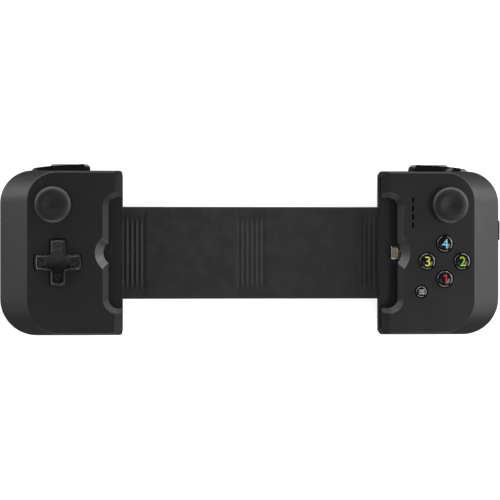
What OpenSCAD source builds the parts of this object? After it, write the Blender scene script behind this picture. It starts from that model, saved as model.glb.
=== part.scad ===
// Clip-on game controller: two grip pods joined by a flexible strap.
// Millimetres. +X runs to the right pod, +Y to the shoulder buttons, +Z out of the front faces.
// Every module is drawn for the right pod and mirrored for the left one.

/* [Bay] */
// Length of the device bay between the two end pads
bay_length = 158.6; // [140:0.2:180]
// Width of the device bay across Y
bay_width = 78.6; // [74:0.2:84]
// Depth of the device bay in Z
bay_depth = 7.6; // [6.8:0.1:9]
// Reach of the front lip over each end of the bay
lip_reach = 12.3; // [11.6:0.1:14]
// Thickness of the front lip
lip_t = 4; // [3.4:0.1:5]
// Thickness of the bay floor
floor_t = 1.6; // [1.2:0.1:2]
// Thickness of the rubber end pad
pad_t = 0.8; // [0.6:0.1:1.2]
// Thickness of the end wall behind the pad
end_wall_t = 1.6; // [1.4:0.1:2.2]
// Width of the wall beside the bay
bay_side_wall = 3.5; // [3:0.1:5]

/* [Lip cut-outs] */
// Depth of the left cut-out at bay level
left_cut = 6.8; // [5:0.1:8]
// Depth of the right cut-out at bay level
right_cut = 8.5; // [6:0.1:9]
// Half length of the cut-outs at bay level
cut_half = 28.5; // [24:0.1:31]
// Bevel of the cut-outs between bay level and the face
cut_bevel = 2.9; // [2:0.1:3.4]
// Corner fillet of the cut-outs at bay level
cut_r = 5; // [3:0.1:6]
// Radius of the left round notch at bay level
left_notch_r = 6.4; // [5.6:0.1:7]
// Radius of the right round notch at bay level
right_notch_r = 8.6; // [7.6:0.1:9]
// Reach of the left round notch beyond its cut-out
left_notch_reach = 2.6; // [1.8:0.1:3]
// Reach of the right round notch beyond its cut-out
right_notch_reach = 1.8; // [1:0.1:2.2]

/* [Pods] */
// Width of the control area from the end wall to the outer edge of the face
control_w = 33.7; // [32.6:0.1:38]
// Outward flare of the side from the face to the widest line
flare = 14.9; // [13:0.1:17]
// Depth of the rear shell from the rest plane to the widest line
rear_depth = 15; // [14.6:0.1:18]
// Draft of the top and bottom walls up to the face
draft = 1.2; // [0:0.1:1.5]
// Edge break round the face
face_edge = 1; // [0.6:0.1:1.4]
// Outer corner radius at the widest line
wide_r = 17; // [15:0.1:19]
// Outer corner radius at the face
face_r = 15; // [13:0.1:15.4]
// Extra radius of the two low outer corners
low_round = 2; // [0:0.1:2.4]
// Inset of the rounded back
back_round = 9; // [8:0.1:10]
// Shell wall
wall = 2; // [1.6:0.1:2.2]

/* [Sticks] */
// Stick centre outside the end wall
stick_off = 20.1; // [19:0.1:21]
// Stick centre below the top edge
stick_drop = 18.3; // [18:0.1:20]
// Radius of the stick cap
cap_r = 9.4; // [8:0.1:9.6]
// Height of the cap above the face
cap_rise = 6.5; // [6.2:0.1:8]
// Gap between the face and the underside of the cap
cap_gap = 3.5; // [3.5:0.1:4]
// Depth of the stick pivot below the face
pivot_drop = 4.5; // [4.4:0.1:4.8]
// Radius of the stick opening in the face
stick_hole_r = 8.5; // [8.5:0.1:8.8]

/* [Directional pad] */
// Centre of the directional pad and of the button cluster outside the end wall
cluster_off = 17.7; // [17.4:0.1:18.2]
// Centre of the directional pad below the middle of the pod
dpad_low = 4.8; // [3:0.1:6]
// Length of the cross over two arms
dpad_len = 23.9; // [20:0.1:24.2]
// Width of an arm
dpad_arm = 7.7; // [6.4:0.1:8.4]
// Height of the cross above the face
dpad_rise = 1.5; // [1:0.1:2.5]

/* [Buttons] */
// Centre of the button cluster below the middle of the pod
cluster_low = 4.4; // [3:0.1:6]
// Distance of each button from the cluster centre
button_pitch = 9.1; // [8.4:0.1:9.4]
// Radius of a face button
button_r = 4.2; // [3.4:0.1:4.3]
// Height of a button crown above the face
button_rise = 1.8; // [1.6:0.1:2.6]
// Travel of the buttons
button_travel = 1.2; // [0.8:0.1:1.2]
// Radius of the menu button
menu_r = 2.95; // [2.4:0.05:3.2]
// Menu button outside the end wall
menu_off = 5.5; // [5.2:0.1:6.4]
// Menu button below the middle of the pod
menu_low = 20.1; // [19.4:0.1:22]
// Pitch of the indicator slots
led_pitch = 4.33; // [4:0.01:4.6]
// Width of an indicator slot
led_w = 1.1; // [1:0.05:1.4]
// Length of an indicator slot
led_len = 2.85; // [2.2:0.05:3.2]
// Centre of the indicator row below the top edge
led_drop = 22.1; // [21.6:0.1:23]

/* [Shoulder] */
// Rise of the bumper above the pod
bumper_rise = 3.45; // [2.5:0.05:4]
// Rise of the trigger above the pod
trigger_rise = 3.75; // [3:0.05:4.5]
// Inner end of the bumper outside the end wall
bumper_in = 3; // [2.8:0.1:3.4]
// Outer end of the bumper outside the end wall
bumper_out = 32.8; // [32.4:0.1:33]
// Bend in the top edge of the bumper outside the end wall
bumper_bend = 23.1; // [21:0.1:25]
// Inner end of the trigger outside the end wall
trigger_in = 2.6; // [2.4:0.1:3]
// Outer end of the trigger outside the end wall
trigger_out = 23.6; // [23.2:0.1:23.8]
// Depth of the bumper along Z
bumper_depth = 5.2; // [4.4:0.1:5.4]
// Depth of the trigger along Z
trigger_depth = 6.3; // [5.6:0.1:6.6]
// Bottom of the trigger above the rest plane
trigger_z = 1.4; // [1.3:0.1:1.6]
// Radius of the shoulder pivot pins
shoulder_pin_r = 1; // [0.8:0.05:1.2]
// Bottom of the bumper pin above the rest plane
bumper_pin_z = 5; // [4.6:0.1:5.4]
// Length of the trigger spring
spring_len = 4.5; // [4.2:0.1:4.6]
// Trigger spring outside the end wall
spring_off = 13.5; // [12:0.1:15]
// Length of the shoulder board
shoulder_board_len = 26; // [22:0.5:27]
// Set-back of the shoulder board from the top edge
shoulder_board_in = 11; // [10.9:0.1:11.2]
// Length of the bumper switch
switch_len = 6; // [5:0.1:7]
// Height of the bumper switch
switch_h = 4; // [3:0.1:4.4]
// Depth of the bumper switch
switch_depth = 3.6; // [3.2:0.1:3.6]

/* [Strap] */
// Width of the strap
strap_w = 48; // [40:0.5:50]
// Thickness of the strap
strap_t = 2.6; // [2:0.1:2.8]
// Distance of the end hinge lines from the lip edge
strap_flex = 6; // [5:0.1:12]
// Relief round each hinge line
strap_relief = 0.5; // [0.5:0.05:0.7]

/* [Ports] */
// Length of the charge port opening
port_w = 6.9; // [6:0.1:8.4]
// Height of the charge port opening
port_h = 2.1; // [1.8:0.1:2.6]
// Centre of the charge port above the middle of the pod
port_y = 11.8; // [11:0.1:13]
// Rise of the port bezel beyond the side
bezel_rise = 0.7; // [0.4:0.1:1]
// Radius of the audio jack bore
jack_r = 1.8; // [1.75:0.05:1.9]
// Length of the device plug beyond the end pad
plug_len = 6.6; // [5:0.1:8]
// Width of the device plug
plug_w = 6.7; // [5:0.1:8.4]
// Thickness of the device plug
plug_t = 1.5; // [1.2:0.1:2.4]

/* [Inside] */
// Thickness of the circuit boards
board_t = 1.2; // [1:0.1:1.6]
// Battery length along Y
battery_len = 33; // [24:0.5:33]
// Battery width along X
battery_w = 27; // [20:0.5:27]
// Battery thickness
battery_t = 5.2; // [3:0.1:7]
// Radius of the assembly screws
screw_r = 1; // [0.9:0.05:1.1]
// Low inner screw outside the end wall
low_in_off = 4.8; // [4.6:0.1:5]
// Low inner screw above the bottom edge
low_in_up = 8.3; // [8:0.1:8.6]
// Low outer screw outside the end wall
low_out_off = 28.3; // [28:0.1:28.6]
// Low outer screw above the bottom edge
low_out_up = 10.8; // [10.6:0.1:11]
// Side screw outside the end wall
side_off = 36.1; // [35.8:0.1:36.4]
// Side screw above the middle of the pod
side_up = 1; // [0.8:0.1:1.2]
// High inner screw outside the end wall
high_in_off = 6.8; // [6.7:0.1:6.9]
// High inner screw above the middle of the pod
high_in_up = 13.4; // [13.2:0.1:13.6]

/* [Fits] */
// Running clearance of pins in bores
run_fit = 0.05; // [0.03:0.01:0.08]
// Clearance of screws and fixed pins
set_fit = 0.02; // [0.01:0.01:0.04]
// Gap round a button
button_gap = 0.5; // [0.35:0.05:0.55]
// Gap round the directional pad
dpad_gap = 0.65; // [0.55:0.05:0.8]
// Gap round a shoulder button
shoulder_gap = 0.3; // [0.25:0.05:0.4]
// Gap between the strap and its channel
strap_gap = 0.2; // [0.1:0.05:0.3]

/* [Hidden] */
$fn = 64;
HF = 32;
thin = 0.01;
pod_h = bay_width + 2 * bay_side_wall;
T = pod_h / 2;
split_z = rear_depth;
floor_under = split_z + 0.8;
bay_floor = floor_under + floor_t;
bay_top = bay_floor + bay_depth;
F = bay_top + lip_t;
FU = F - wall;
face_z = F - face_edge;
mouth_x = bay_length / 2 - lip_reach;
pad_x = bay_length / 2;
inner_x = pad_x + pad_t + end_wall_t;
face_x = inner_x + control_w;
outer_x = face_x + flare;
flare_wall = wall / cos(atan(flare / (face_z - split_z)));
board_z = split_z;
board_top = board_z + board_t;
stick_x = inner_x + stick_off;
stick_y = T - stick_drop;
pivot_z = F - pivot_drop;
cluster_x = inner_x + cluster_off;
menu_x = inner_x + menu_off;
led_x = inner_x + 0.75 + led_w / 2;
led_y = T - led_drop;
bumper_z1 = split_z - 0.3;
bumper_z0 = bumper_z1 - bumper_depth;
trigger_z1 = trigger_z + trigger_depth;
bumper_px = inner_x + bumper_out - 1.9;
bumper_py = T - 4.6;
trigger_px = inner_x + trigger_out + 0.9;
trigger_py = T - 6;
spring_z = trigger_z + 0.6 * trigger_depth;
hub_r = shoulder_pin_r + 1.4;
post_r = shoulder_pin_r + 2;
strap_top = floor_under - strap_gap;
strap_z = strap_top - strap_t;
hinge_z = strap_z + strap_t / 2;
hinge_x = mouth_x - strap_flex;
strap_end_x = pad_x + 0.5;
clamp_x0 = mouth_x + wall + 1;
clamp_x1 = strap_end_x - 3.5;
clamp_z = strap_z - strap_gap;
clamp_t = 1.6;
clamp_y = strap_w / 2 + strap_gap + 2.8;
clamp_x = (clamp_x0 + clamp_x1) / 2;
plug_z = bay_floor + bay_depth / 2;
jack_x = inner_x + 18;
jack_z = board_top + 2.5;
port_z = board_z - port_h / 2 - 0.6;
seat_z = split_z - 0.2;
screw_seat = split_z - 6;
bosses = [
    [inner_x + low_in_off, low_in_up - T],
    [inner_x + low_out_off, low_out_up - T],
    [inner_x + side_off, side_up],
    [inner_x + high_in_off, high_in_up]
];
buttons = [[0, 1], [1, 0], [0, -1], [-1, 0]];
shift = [-bezel_rise / 2, -max(trigger_rise, bumper_rise) / 2, 0];

// Outline of a pod at a height
function mix(a, b, t) = a + (b - a) * t;
function rise(z) = (z - split_z) / (face_z - split_z);
function ease(z) = back_round * (1 - sqrt(1 - pow(max(0, back_round - z) / back_round, 2)));
function side_x(z) = z >= split_z ? mix(outer_x, face_x, rise(z)) : outer_x - ease(z);
function half_y(z) = z >= split_z ? mix(T, T - draft, rise(z)) : T - ease(z);
function corner(z) = z >= split_z ? mix(wide_r, face_r, rise(z)) : wide_r - ease(z) / 2;

module slice(z, x0, x1, hy, r, r0, low = 0, high = 0.05) {
    for (s = [-1, 1]) {
        q = s < 0 ? r + low_round : r;
        translate([x1 - q, s * (hy - q), z]) cylinder(h = thin, r1 = q - high, r2 = q - low, $fn = HF);
        translate([x0 + r0, s * (hy - r0), z]) cylinder(h = thin, r1 = r0 - high, r2 = r0 - low, $fn = HF);
    }
}

module front_outer() {
    hull() {
        slice(split_z, mouth_x, outer_x, T, wide_r, 1.5, 0.05, 0);
        slice(face_z - thin, mouth_x, face_x, T - draft, face_r, 1.5);
        slice(F - thin, mouth_x, face_x - face_edge, T - draft - face_edge, face_r - face_edge, 1.5);
    }
}

module front_cavity() {
    hull() {
        slice(split_z - 1, inner_x, outer_x - flare_wall, T - wall, wide_r - wall, 1, 0.05, 0);
        slice(split_z, inner_x, outer_x - flare_wall, T - wall, wide_r - wall, 1);
        slice(FU - thin, inner_x, side_x(FU) - flare_wall, half_y(FU) - wall, corner(FU) - wall, 1);
    }
}

module rear_outer() {
    hull() {
        for (z = [0, 0.5, 1.5, 3, 5.4, back_round, split_z - thin]) {
            slice(z, mouth_x + ease(z), outer_x - ease(z), T - ease(z), wide_r - ease(z) / 2, 2.5,
                z == 0 ? 0.05 : 0, z == 0 ? 0 : 0.05);
        }
    }
}

module rear_cavity() {
    hull() {
        for (z = [wall, 3, 5.4, back_round, split_z + 1]) {
            slice(z, mouth_x + ease(z) + wall, outer_x - ease(z) - wall, T - ease(z) - wall,
                wide_r - ease(z) / 2 - wall, 1.5, z == wall ? 0.05 : 0, z == wall ? 0 : 0.05);
        }
    }
}

// Plate with a radius of its own on each corner
module plate2d(x0, x1, y0, y1, r) {
    c = [[x0, y0, 1, 1], [x1, y0, -1, 1], [x1, y1, -1, -1], [x0, y1, 1, -1]];
    difference() {
        translate([x0, y0]) square([x1 - x0, y1 - y0]);
        for (i = [0:3]) {
            translate([c[i][0] - (c[i][2] < 0 ? r[i] : 0), c[i][1] - (c[i][3] < 0 ? r[i] : 0)])
                square(r[i]);
        }
    }
    for (i = [0:3]) {
        translate([c[i][0] + c[i][2] * r[i], c[i][1] + c[i][3] * r[i]]) circle(r[i]);
    }
}

module round2d(w, h, r) {
    plate2d(-w / 2, w / 2, -h / 2, h / 2, [r, r, r, r]);
}

module cross2d(len, arm, r) {
    round2d(len, arm, r);
    round2d(arm, len, r);
}

// Front shells
module lip_cut(depth, reach, notch_r) {
    hull() {
        for (k = [0, 1]) {
            z = k == 0 ? bay_top - 0.5 : F + 0.5;
            g = (z - bay_top) / lip_t * cut_bevel;
            r = cut_r + g;
            for (s = [-1, 1]) {
                translate([mouth_x + depth + g - r, s * (cut_half + g - r), z])
                    cylinder(h = thin, r = r, $fn = HF);
                translate([mouth_x - 8, s * (cut_half + g - 1), z]) cylinder(h = thin, r = 1, $fn = HF);
            }
        }
    }
    translate([mouth_x + depth + reach - notch_r, 0, bay_top - 0.5])
        cylinder(h = lip_t + 1, r1 = notch_r - 0.5, r2 = notch_r + lip_t + 0.7);
}

module front_body(depth, reach, notch_r) {
    difference() {
        union() {
            difference() {
                front_outer();
                front_cavity();
                translate([mouth_x - 1, -bay_width / 2, bay_floor])
                    cube([lip_reach + pad_t + 1, bay_width, bay_depth]);
                translate([mouth_x + wall, -T + wall + 1, split_z - 1])
                    cube([inner_x - mouth_x - wall + 0.01, pod_h - 2 * wall - 2, floor_under - split_z + 1]);
                lip_cut(depth, reach, notch_r);
            }
            intersection() {
                union() {
                    for (b = bosses) {
                        translate([b[0], b[1], board_top]) cylinder(h = FU - board_top + 0.5, r = 3.4);
                    }
                }
                front_outer();
            }
            for (b = bosses) {
                translate([b[0], b[1], seat_z]) cylinder(h = board_top - seat_z + 0.5, r = 2.2);
            }
            for (s = [-1, 1]) {
                translate([clamp_x, s * clamp_y, clamp_z]) cylinder(h = floor_under - clamp_z + 0.5, r = 2.3);
            }
        }
        for (b = bosses) {
            translate([b[0], b[1], seat_z - 1]) cylinder(h = 7.5, r = screw_r + set_fit);
        }
        for (s = [-1, 1]) {
            translate([clamp_x, s * clamp_y, clamp_z - 1]) cylinder(h = 3.4, r = 0.9 + set_fit);
        }
        translate([mouth_x - 1, -strap_w / 2 - strap_gap, split_z - 1])
            cube([wall + 2, strap_w + 2 * strap_gap, floor_under - split_z + 1]);
        translate([mouth_x, T + 1, F]) rotate([90, 0, 0]) linear_extrude(pod_h + 2)
            polygon([[-1, -1.14], [4.2, 0], [4.2, 1], [-1, 1]]);
        translate([stick_x, stick_y, FU - 1]) cylinder(h = wall + 2, r = stick_hole_r);
    }
}

module left_front_shell() {
    color("#2b2b2d") mirror([1, 0, 0]) difference() {
        front_body(left_cut, left_notch_reach, left_notch_r);
        translate([cluster_x, -dpad_low, FU - 1]) linear_extrude(wall + 2)
            cross2d(dpad_len + 2 * dpad_gap, dpad_arm + 2 * dpad_gap, 1.6);
    }
}

module right_front_shell() {
    color("#2b2b2d") difference() {
        front_body(right_cut, right_notch_reach, right_notch_r);
        for (b = buttons) {
            translate([cluster_x + b[0] * button_pitch, b[1] * button_pitch - cluster_low, FU - 1])
                cylinder(h = wall + 2, r = button_r + button_gap);
        }
        translate([menu_x, -menu_low, FU - 1]) cylinder(h = wall + 2, r = menu_r + button_gap);
        for (i = [-1.5:1:1.5]) {
            translate([led_x, led_y + i * led_pitch, FU - 1]) linear_extrude(wall + 2)
                round2d(led_w, led_len, led_w * 0.49);
        }
        translate([pad_x, -plug_w / 2 - 0.35, plug_z - plug_t / 2 - 0.35])
            cube([5, plug_w + 0.7, plug_t + 0.7]);
        translate([jack_x, -T - 1, jack_z]) rotate([-90, 0, 0]) cylinder(h = wall + 3, r = jack_r + 1.15);
    }
}

// Rear shells
module rear_body() {
    difference() {
        union() {
            difference() {
                rear_outer();
                rear_cavity();
                translate([inner_x + bumper_in - 0.4, T - 3.2, bumper_z0 - shoulder_gap])
                    cube([bumper_out - bumper_in + 0.8, 8, bumper_depth + 2]);
                translate([inner_x + trigger_in - 1.3, T - 6.4, -1])
                    cube([trigger_out - trigger_in + 1.6, 12, trigger_z1 + shoulder_gap + 1]);
            }
            intersection() {
                union() {
                    for (b = bosses) {
                        translate([b[0], b[1], -1]) cylinder(h = seat_z + 1, r = 3.4);
                    }
                    translate([bumper_px, bumper_py, -1]) cylinder(h = bumper_z0 + 0.6, r = post_r);
                    translate([trigger_px, trigger_py, -1]) cylinder(h = 5.3, r = shoulder_pin_r + 1.6);
                }
                rear_outer();
            }
        }
        for (b = bosses) {
            translate([b[0], b[1], -1]) cylinder(h = screw_seat + 1, r = 2.2);
            translate([b[0], b[1], 1]) cylinder(h = split_z, r = screw_r + 0.2);
        }
        translate([bumper_px, bumper_py, bumper_pin_z]) cylinder(h = split_z, r = shoulder_pin_r + set_fit);
        translate([trigger_px, trigger_py, 1.2]) cylinder(h = 8, r = shoulder_pin_r + set_fit);
        translate([mouth_x - 1, -strap_w / 2 - strap_gap, strap_z - strap_gap])
            cube([wall + 2, strap_w + 2 * strap_gap, strap_t + 2]);
    }
}

module left_rear_shell() {
    color("#303033") mirror([1, 0, 0]) rear_body();
}

module right_rear_shell() {
    color("#303033") difference() {
        rear_body();
        translate([outer_x - wall - 2, port_y - port_w / 2 - 1, port_z - port_h / 2 - 0.8])
            cube([wall + 4, port_w + 2, port_h + 4]);
    }
}

// End pads of the bay
module bay_pad_body() {
    translate([pad_x + pad_t, 0, plug_z]) rotate([0, -90, 0]) linear_extrude(pad_t)
        round2d(bay_depth - 1.6, bay_width - 18, 1.5);
}

module left_bay_pad() {
    color("#1c1c1e") mirror([1, 0, 0]) bay_pad_body();
}

module right_bay_pad() {
    color("#1c1c1e") difference() {
        bay_pad_body();
        translate([pad_x - 1, -plug_w / 2 - 0.5, plug_z - plug_t / 2 - 0.5])
            cube([pad_t + 2, plug_w + 1, plug_t + 1]);
    }
}

// Circuit boards with their soldered parts
module board_body() {
    translate([0, 0, board_z]) linear_extrude(board_t) difference() {
        plate2d(inner_x + 0.5, outer_x - flare_wall - 2.7, 4.3 - T, T - 11.3, [1, 14, 8, 1]);
        for (b = bosses) {
            translate([b[0], b[1]]) circle(2.5);
        }
    }
    difference() {
        translate([inner_x + 3.3, -9, board_z - 1.8]) cube([4, 18, 1.8]);
        translate([inner_x + 3, -7.3, hinge_z - 0.25]) cube([2.8, 14.6, 0.5]);
    }
}

module left_circuit_board() {
    color("#1f4d33") mirror([1, 0, 0]) {
        board_body();
        translate([inner_x + 12, -28, board_top]) cube([9, 7, 1]);
        translate([inner_x + 25, -27, board_top]) cube([5, 5, 0.9]);
    }
}

module right_circuit_board() {
    color("#1f4d33") {
        board_body();
        translate([inner_x + 25, -25, board_top]) cube([8, 6, 1]);
        for (i = [-1.5:1:1.5]) {
            translate([led_x - 0.6, led_y + i * led_pitch - 0.8, board_top]) cube([1.2, 1.6, 0.7]);
        }
    }
}

// Thumb sticks on a two axis gimbal
module stick_base_body() {
    translate([stick_x, stick_y, 0]) difference() {
        union() {
            translate([-6.5, -6.5, board_top]) cube([13, 13, pivot_z - 3.1 - board_top]);
            for (s = [-1, 1]) {
                translate([s * 5.9 - 0.6, -1.8, pivot_z - 3.6]) cube([1.2, 3.6, 5.3]);
            }
            translate([6.4, -4, board_top]) cube([2.2, 8, pivot_z - 4 - board_top]);
            translate([-4, -8.6, board_top]) cube([8, 2.2, pivot_z - 4 - board_top]);
        }
        translate([-8, 0, pivot_z]) rotate([0, 90, 0]) cylinder(h = 16, r = 0.8 + run_fit);
    }
}

module left_stick_base() {
    color("#8d8f92") mirror([1, 0, 0]) stick_base_body();
}

module right_stick_base() {
    color("#8d8f92") stick_base_body();
}

module stick_yoke_body() {
    translate([stick_x, stick_y, pivot_z]) difference() {
        union() {
            difference() {
                translate([0, 0, -0.9]) cylinder(h = 1.8, r = 4.9);
                translate([0, 0, -2]) cylinder(h = 4, r = 3.4);
            }
            for (s = [0, 180]) {
                rotate([0, 0, s]) translate([4.2, 0, 0]) rotate([0, 90, 0]) cylinder(h = 2.2, r = 0.8);
            }
        }
        translate([0, 8, 0]) rotate([90, 0, 0]) cylinder(h = 16, r = 0.65 + run_fit);
    }
}

module left_stick_yoke() {
    color("#c9c9c4") mirror([1, 0, 0]) stick_yoke_body();
}

module right_stick_yoke() {
    color("#c9c9c4") stick_yoke_body();
}

module stick_shaft_body() {
    translate([stick_x, stick_y, pivot_z]) {
        difference() {
            union() {
                translate([0, 0, -2.2]) cylinder(h = pivot_drop + cap_gap + 3.5, r = 2);
                translate([0, 4.6, 0]) rotate([90, 0, 0]) cylinder(h = 9.2, r = 0.65);
            }
            translate([0, 0, pivot_drop + cap_gap + 1.2]) cylinder(h = 5, r = 3);
        }
        rotate_extrude() difference() {
            intersection() {
                circle(8.2);
                square([9, pivot_drop + cap_gap - 0.3]);
            }
            circle(7.2);
            square([1.9, 20]);
        }
    }
}

module left_stick_shaft() {
    color("#232325") mirror([1, 0, 0]) stick_shaft_body();
}

module right_stick_shaft() {
    color("#232325") stick_shaft_body();
}

module stick_cap_body() {
    translate([stick_x, stick_y, F]) rotate_extrude()
        polygon([
            [2 + set_fit, cap_gap], [cap_r - 1.4, cap_gap], [cap_r - 0.4, cap_gap + 0.5],
            [cap_r, cap_gap + 1.2],
            [cap_r - 0.14, cap_rise - 1.3], [cap_r - 0.54, cap_rise - 0.87],
            [cap_r - 1.17, cap_rise - 0.51], [cap_r - 2, cap_rise - 0.23],
            [cap_r - 2.96, cap_rise - 0.06], [cap_r - 4, cap_rise],
            [cap_r - 4.8, cap_rise - 0.15], [0.8, cap_rise - 0.86], [0, cap_rise - 0.9],
            [0, cap_gap + 1.3], [2 + set_fit, cap_gap + 1.3]
        ]);
}

module left_stick_cap() {
    color("#29292b") mirror([1, 0, 0]) stick_cap_body();
}

module right_stick_cap() {
    color("#29292b") stick_cap_body();
}

// Directional pad on a ball rocker
module dpad() {
    color("#0d0d0e") mirror([1, 0, 0]) translate([cluster_x, -dpad_low, 0]) difference() {
        union() {
            translate([0, 0, F - 4.6]) cylinder(h = 1.2, r = dpad_len / 2 + 0.8);
            translate([0, 0, F - 3.6]) linear_extrude(3.6 + dpad_rise) cross2d(dpad_len, dpad_arm, 1.1);
        }
        translate([0, 0, F + dpad_rise + 59.1]) sphere(60);
        translate([0, 0, F - 4.6]) sphere(2.4);
    }
}

module dpad_rocker() {
    color("#dcdcd6") mirror([1, 0, 0]) translate([cluster_x, -dpad_low, F - 4.6]) {
        difference() {
            union() {
                sphere(2.2);
                translate([0, 0, -3.2]) cylinder(h = 3, r = 1.5);
            }
            translate([-5, -5, -6]) cube([10, 10, 3.2]);
        }
        translate([0, 0, -3.8]) cylinder(h = 1, r = 4);
    }
}

module dpad_membrane() {
    color("#9a9a94") mirror([1, 0, 0]) translate([cluster_x, -dpad_low, board_top]) {
        linear_extrude(0.8) cross2d(24, 10, 2);
        translate([0, 0, 0.7]) cylinder(h = F - 8.9 - board_top - 0.7, r = 3);
        for (b = buttons) {
            translate([b[0] * 8.3, b[1] * 8.3, 0.7])
                cylinder(h = F - 5.8 - board_top - 0.7, r1 = 3, r2 = 2.3);
        }
    }
}

module battery() {
    color("#b9bcc0") mirror([1, 0, 0]) translate([inner_x + 16.5, -11.5, wall]) linear_extrude(battery_t)
        round2d(battery_w, battery_len, 1.5);
}

// Face buttons
module button_body(x, y, r) {
    crown = (r * r + 0.64) / 1.6;
    translate([x, y, 0]) rotate_extrude() {
        translate([0, F - 9]) square([r * 0.55, 6]);
        translate([0, F - 3.5]) square([r + 0.7, 3.2 - wall]);
        intersection() {
            translate([0, F - 4]) square([r, 8]);
            translate([0, F + button_rise - crown]) circle(crown, $fn = 128);
        }
    }
}

module north_button() {
    color("#161617") button_body(cluster_x, button_pitch - cluster_low, button_r);
}

module east_button() {
    color("#161617") button_body(cluster_x + button_pitch, -cluster_low, button_r);
}

module south_button() {
    color("#161617") button_body(cluster_x, -button_pitch - cluster_low, button_r);
}

module west_button() {
    color("#161617") button_body(cluster_x - button_pitch, -cluster_low, button_r);
}

module menu_button() {
    color("#161617") button_body(menu_x, -menu_low, menu_r);
}

module button_membrane() {
    dome = F - 9 - button_travel - 0.3 - board_top;
    color("#9a9a94") translate([0, 0, board_top]) {
        linear_extrude(0.8) {
            translate([cluster_x, -cluster_low]) {
                cross2d(2 * button_pitch + 9, 9, 3);
            }
            translate([menu_x - 3.4, -menu_low - 3.4]) square([6.8, 6.8]);
            translate([menu_x - 1, -menu_low - 2]) square([cluster_x - menu_x + 1, 4]);
            translate([cluster_x - 3, -menu_low - 2]) square([3, 8]);
        }
        for (b = buttons) {
            translate([cluster_x + b[0] * button_pitch, b[1] * button_pitch - cluster_low, 0.7])
                cylinder(h = dome - 0.7, r1 = 3.2, r2 = 2.4);
        }
        translate([menu_x, -menu_low, 0.7]) cylinder(h = dome - 0.7, r1 = 2.4, r2 = 1.8);
    }
}

// Light guide behind the indicator slots
module light_guide() {
    color("#e6e6e0") {
        translate([inner_x + 0.3, led_y - 1.5 * led_pitch - 2.2, FU - 1.6])
            cube([2.3, 3 * led_pitch + 4.4, 1.6]);
        for (i = [-1.5:1:1.5]) {
            translate([led_x, led_y + i * led_pitch, FU - 0.2]) linear_extrude(wall + 0.05)
                round2d(led_w - 0.2, led_len - 0.2, led_w * 0.4);
        }
    }
}

// Ports
module charge_port() {
    color("#c4c6c8") translate([outer_x - 13, port_y, port_z]) difference() {
        translate([0, -port_w / 2 - 0.6, -port_h / 2 - 0.6]) cube([12.6, port_w + 1.2, port_h + 1.2]);
        translate([5, -port_w / 2, -port_h / 2]) cube([10, port_w, port_h]);
    }
}

module port_bezel() {
    color("#3a3a3d") translate([outer_x, port_y, port_z]) rotate([0, 90, 0])
        linear_extrude(bezel_rise) difference() {
            translate([0.45, 0]) round2d(port_h + 2.2, port_w + 3.4, 1.2);
            round2d(port_h + 0.2, port_w + 0.2, 0.6);
        }
}

module headphone_jack() {
    color("#1a1a1c") difference() {
        union() {
            translate([jack_x - 3.5, 2.8 - T, board_top]) cube([7, 11.4, 5]);
            translate([jack_x, 0.5 - T, jack_z]) rotate([-90, 0, 0]) cylinder(h = 3, r = jack_r + 0.85);
        }
        translate([jack_x, -T - 1, jack_z]) rotate([-90, 0, 0]) cylinder(h = 14.2, r = jack_r);
    }
}

module device_plug() {
    color("#d8d8da") translate([pad_x - plug_len, 0, plug_z]) rotate([0, 90, 0])
        linear_extrude(plug_len + pad_t + end_wall_t) round2d(plug_t, plug_w, plug_t * 0.45);
}

module plug_carrier() {
    color("#1a1a1c") translate([inner_x, -6, plug_z - 2.7]) cube([3.4, 12, 5.4]);
}

// Shoulder buttons
module bumper_body() {
    translate([0, 0, bumper_z0]) linear_extrude(bumper_depth) difference() {
        union() {
            translate([inner_x, T]) polygon([
                [bumper_out, 0.3], [bumper_out - 1.4, 0.44 * bumper_rise],
                [bumper_bend + 5, 0.54 * bumper_rise], [bumper_bend, 0.68 * bumper_rise],
                [bumper_in + 2.6, bumper_rise], [bumper_in, 0.1], [bumper_in + 0.2, -4],
                [bumper_out - 3.8, -4], [bumper_out - 3.8, -5.5], [bumper_out - 1.9, -5.6],
                [bumper_out, -4]
            ]);
            translate([inner_x + 1.4, T - wall - 1.8]) square([2.4, 1.4]);
            translate([bumper_px, bumper_py]) circle(hub_r);
        }
        translate([bumper_px, bumper_py]) circle(shoulder_pin_r + run_fit);
    }
}

module left_bumper() {
    color("#121213") mirror([1, 0, 0]) bumper_body();
}

module right_bumper() {
    color("#121213") bumper_body();
}

module bumper_pin_body() {
    translate([bumper_px, bumper_py, bumper_pin_z])
        cylinder(h = bumper_z1 - bumper_pin_z - 0.2, r = shoulder_pin_r);
}

module left_bumper_pin() {
    color("#b4b6b8") mirror([1, 0, 0]) bumper_pin_body();
}

module right_bumper_pin() {
    color("#b4b6b8") bumper_pin_body();
}

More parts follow.
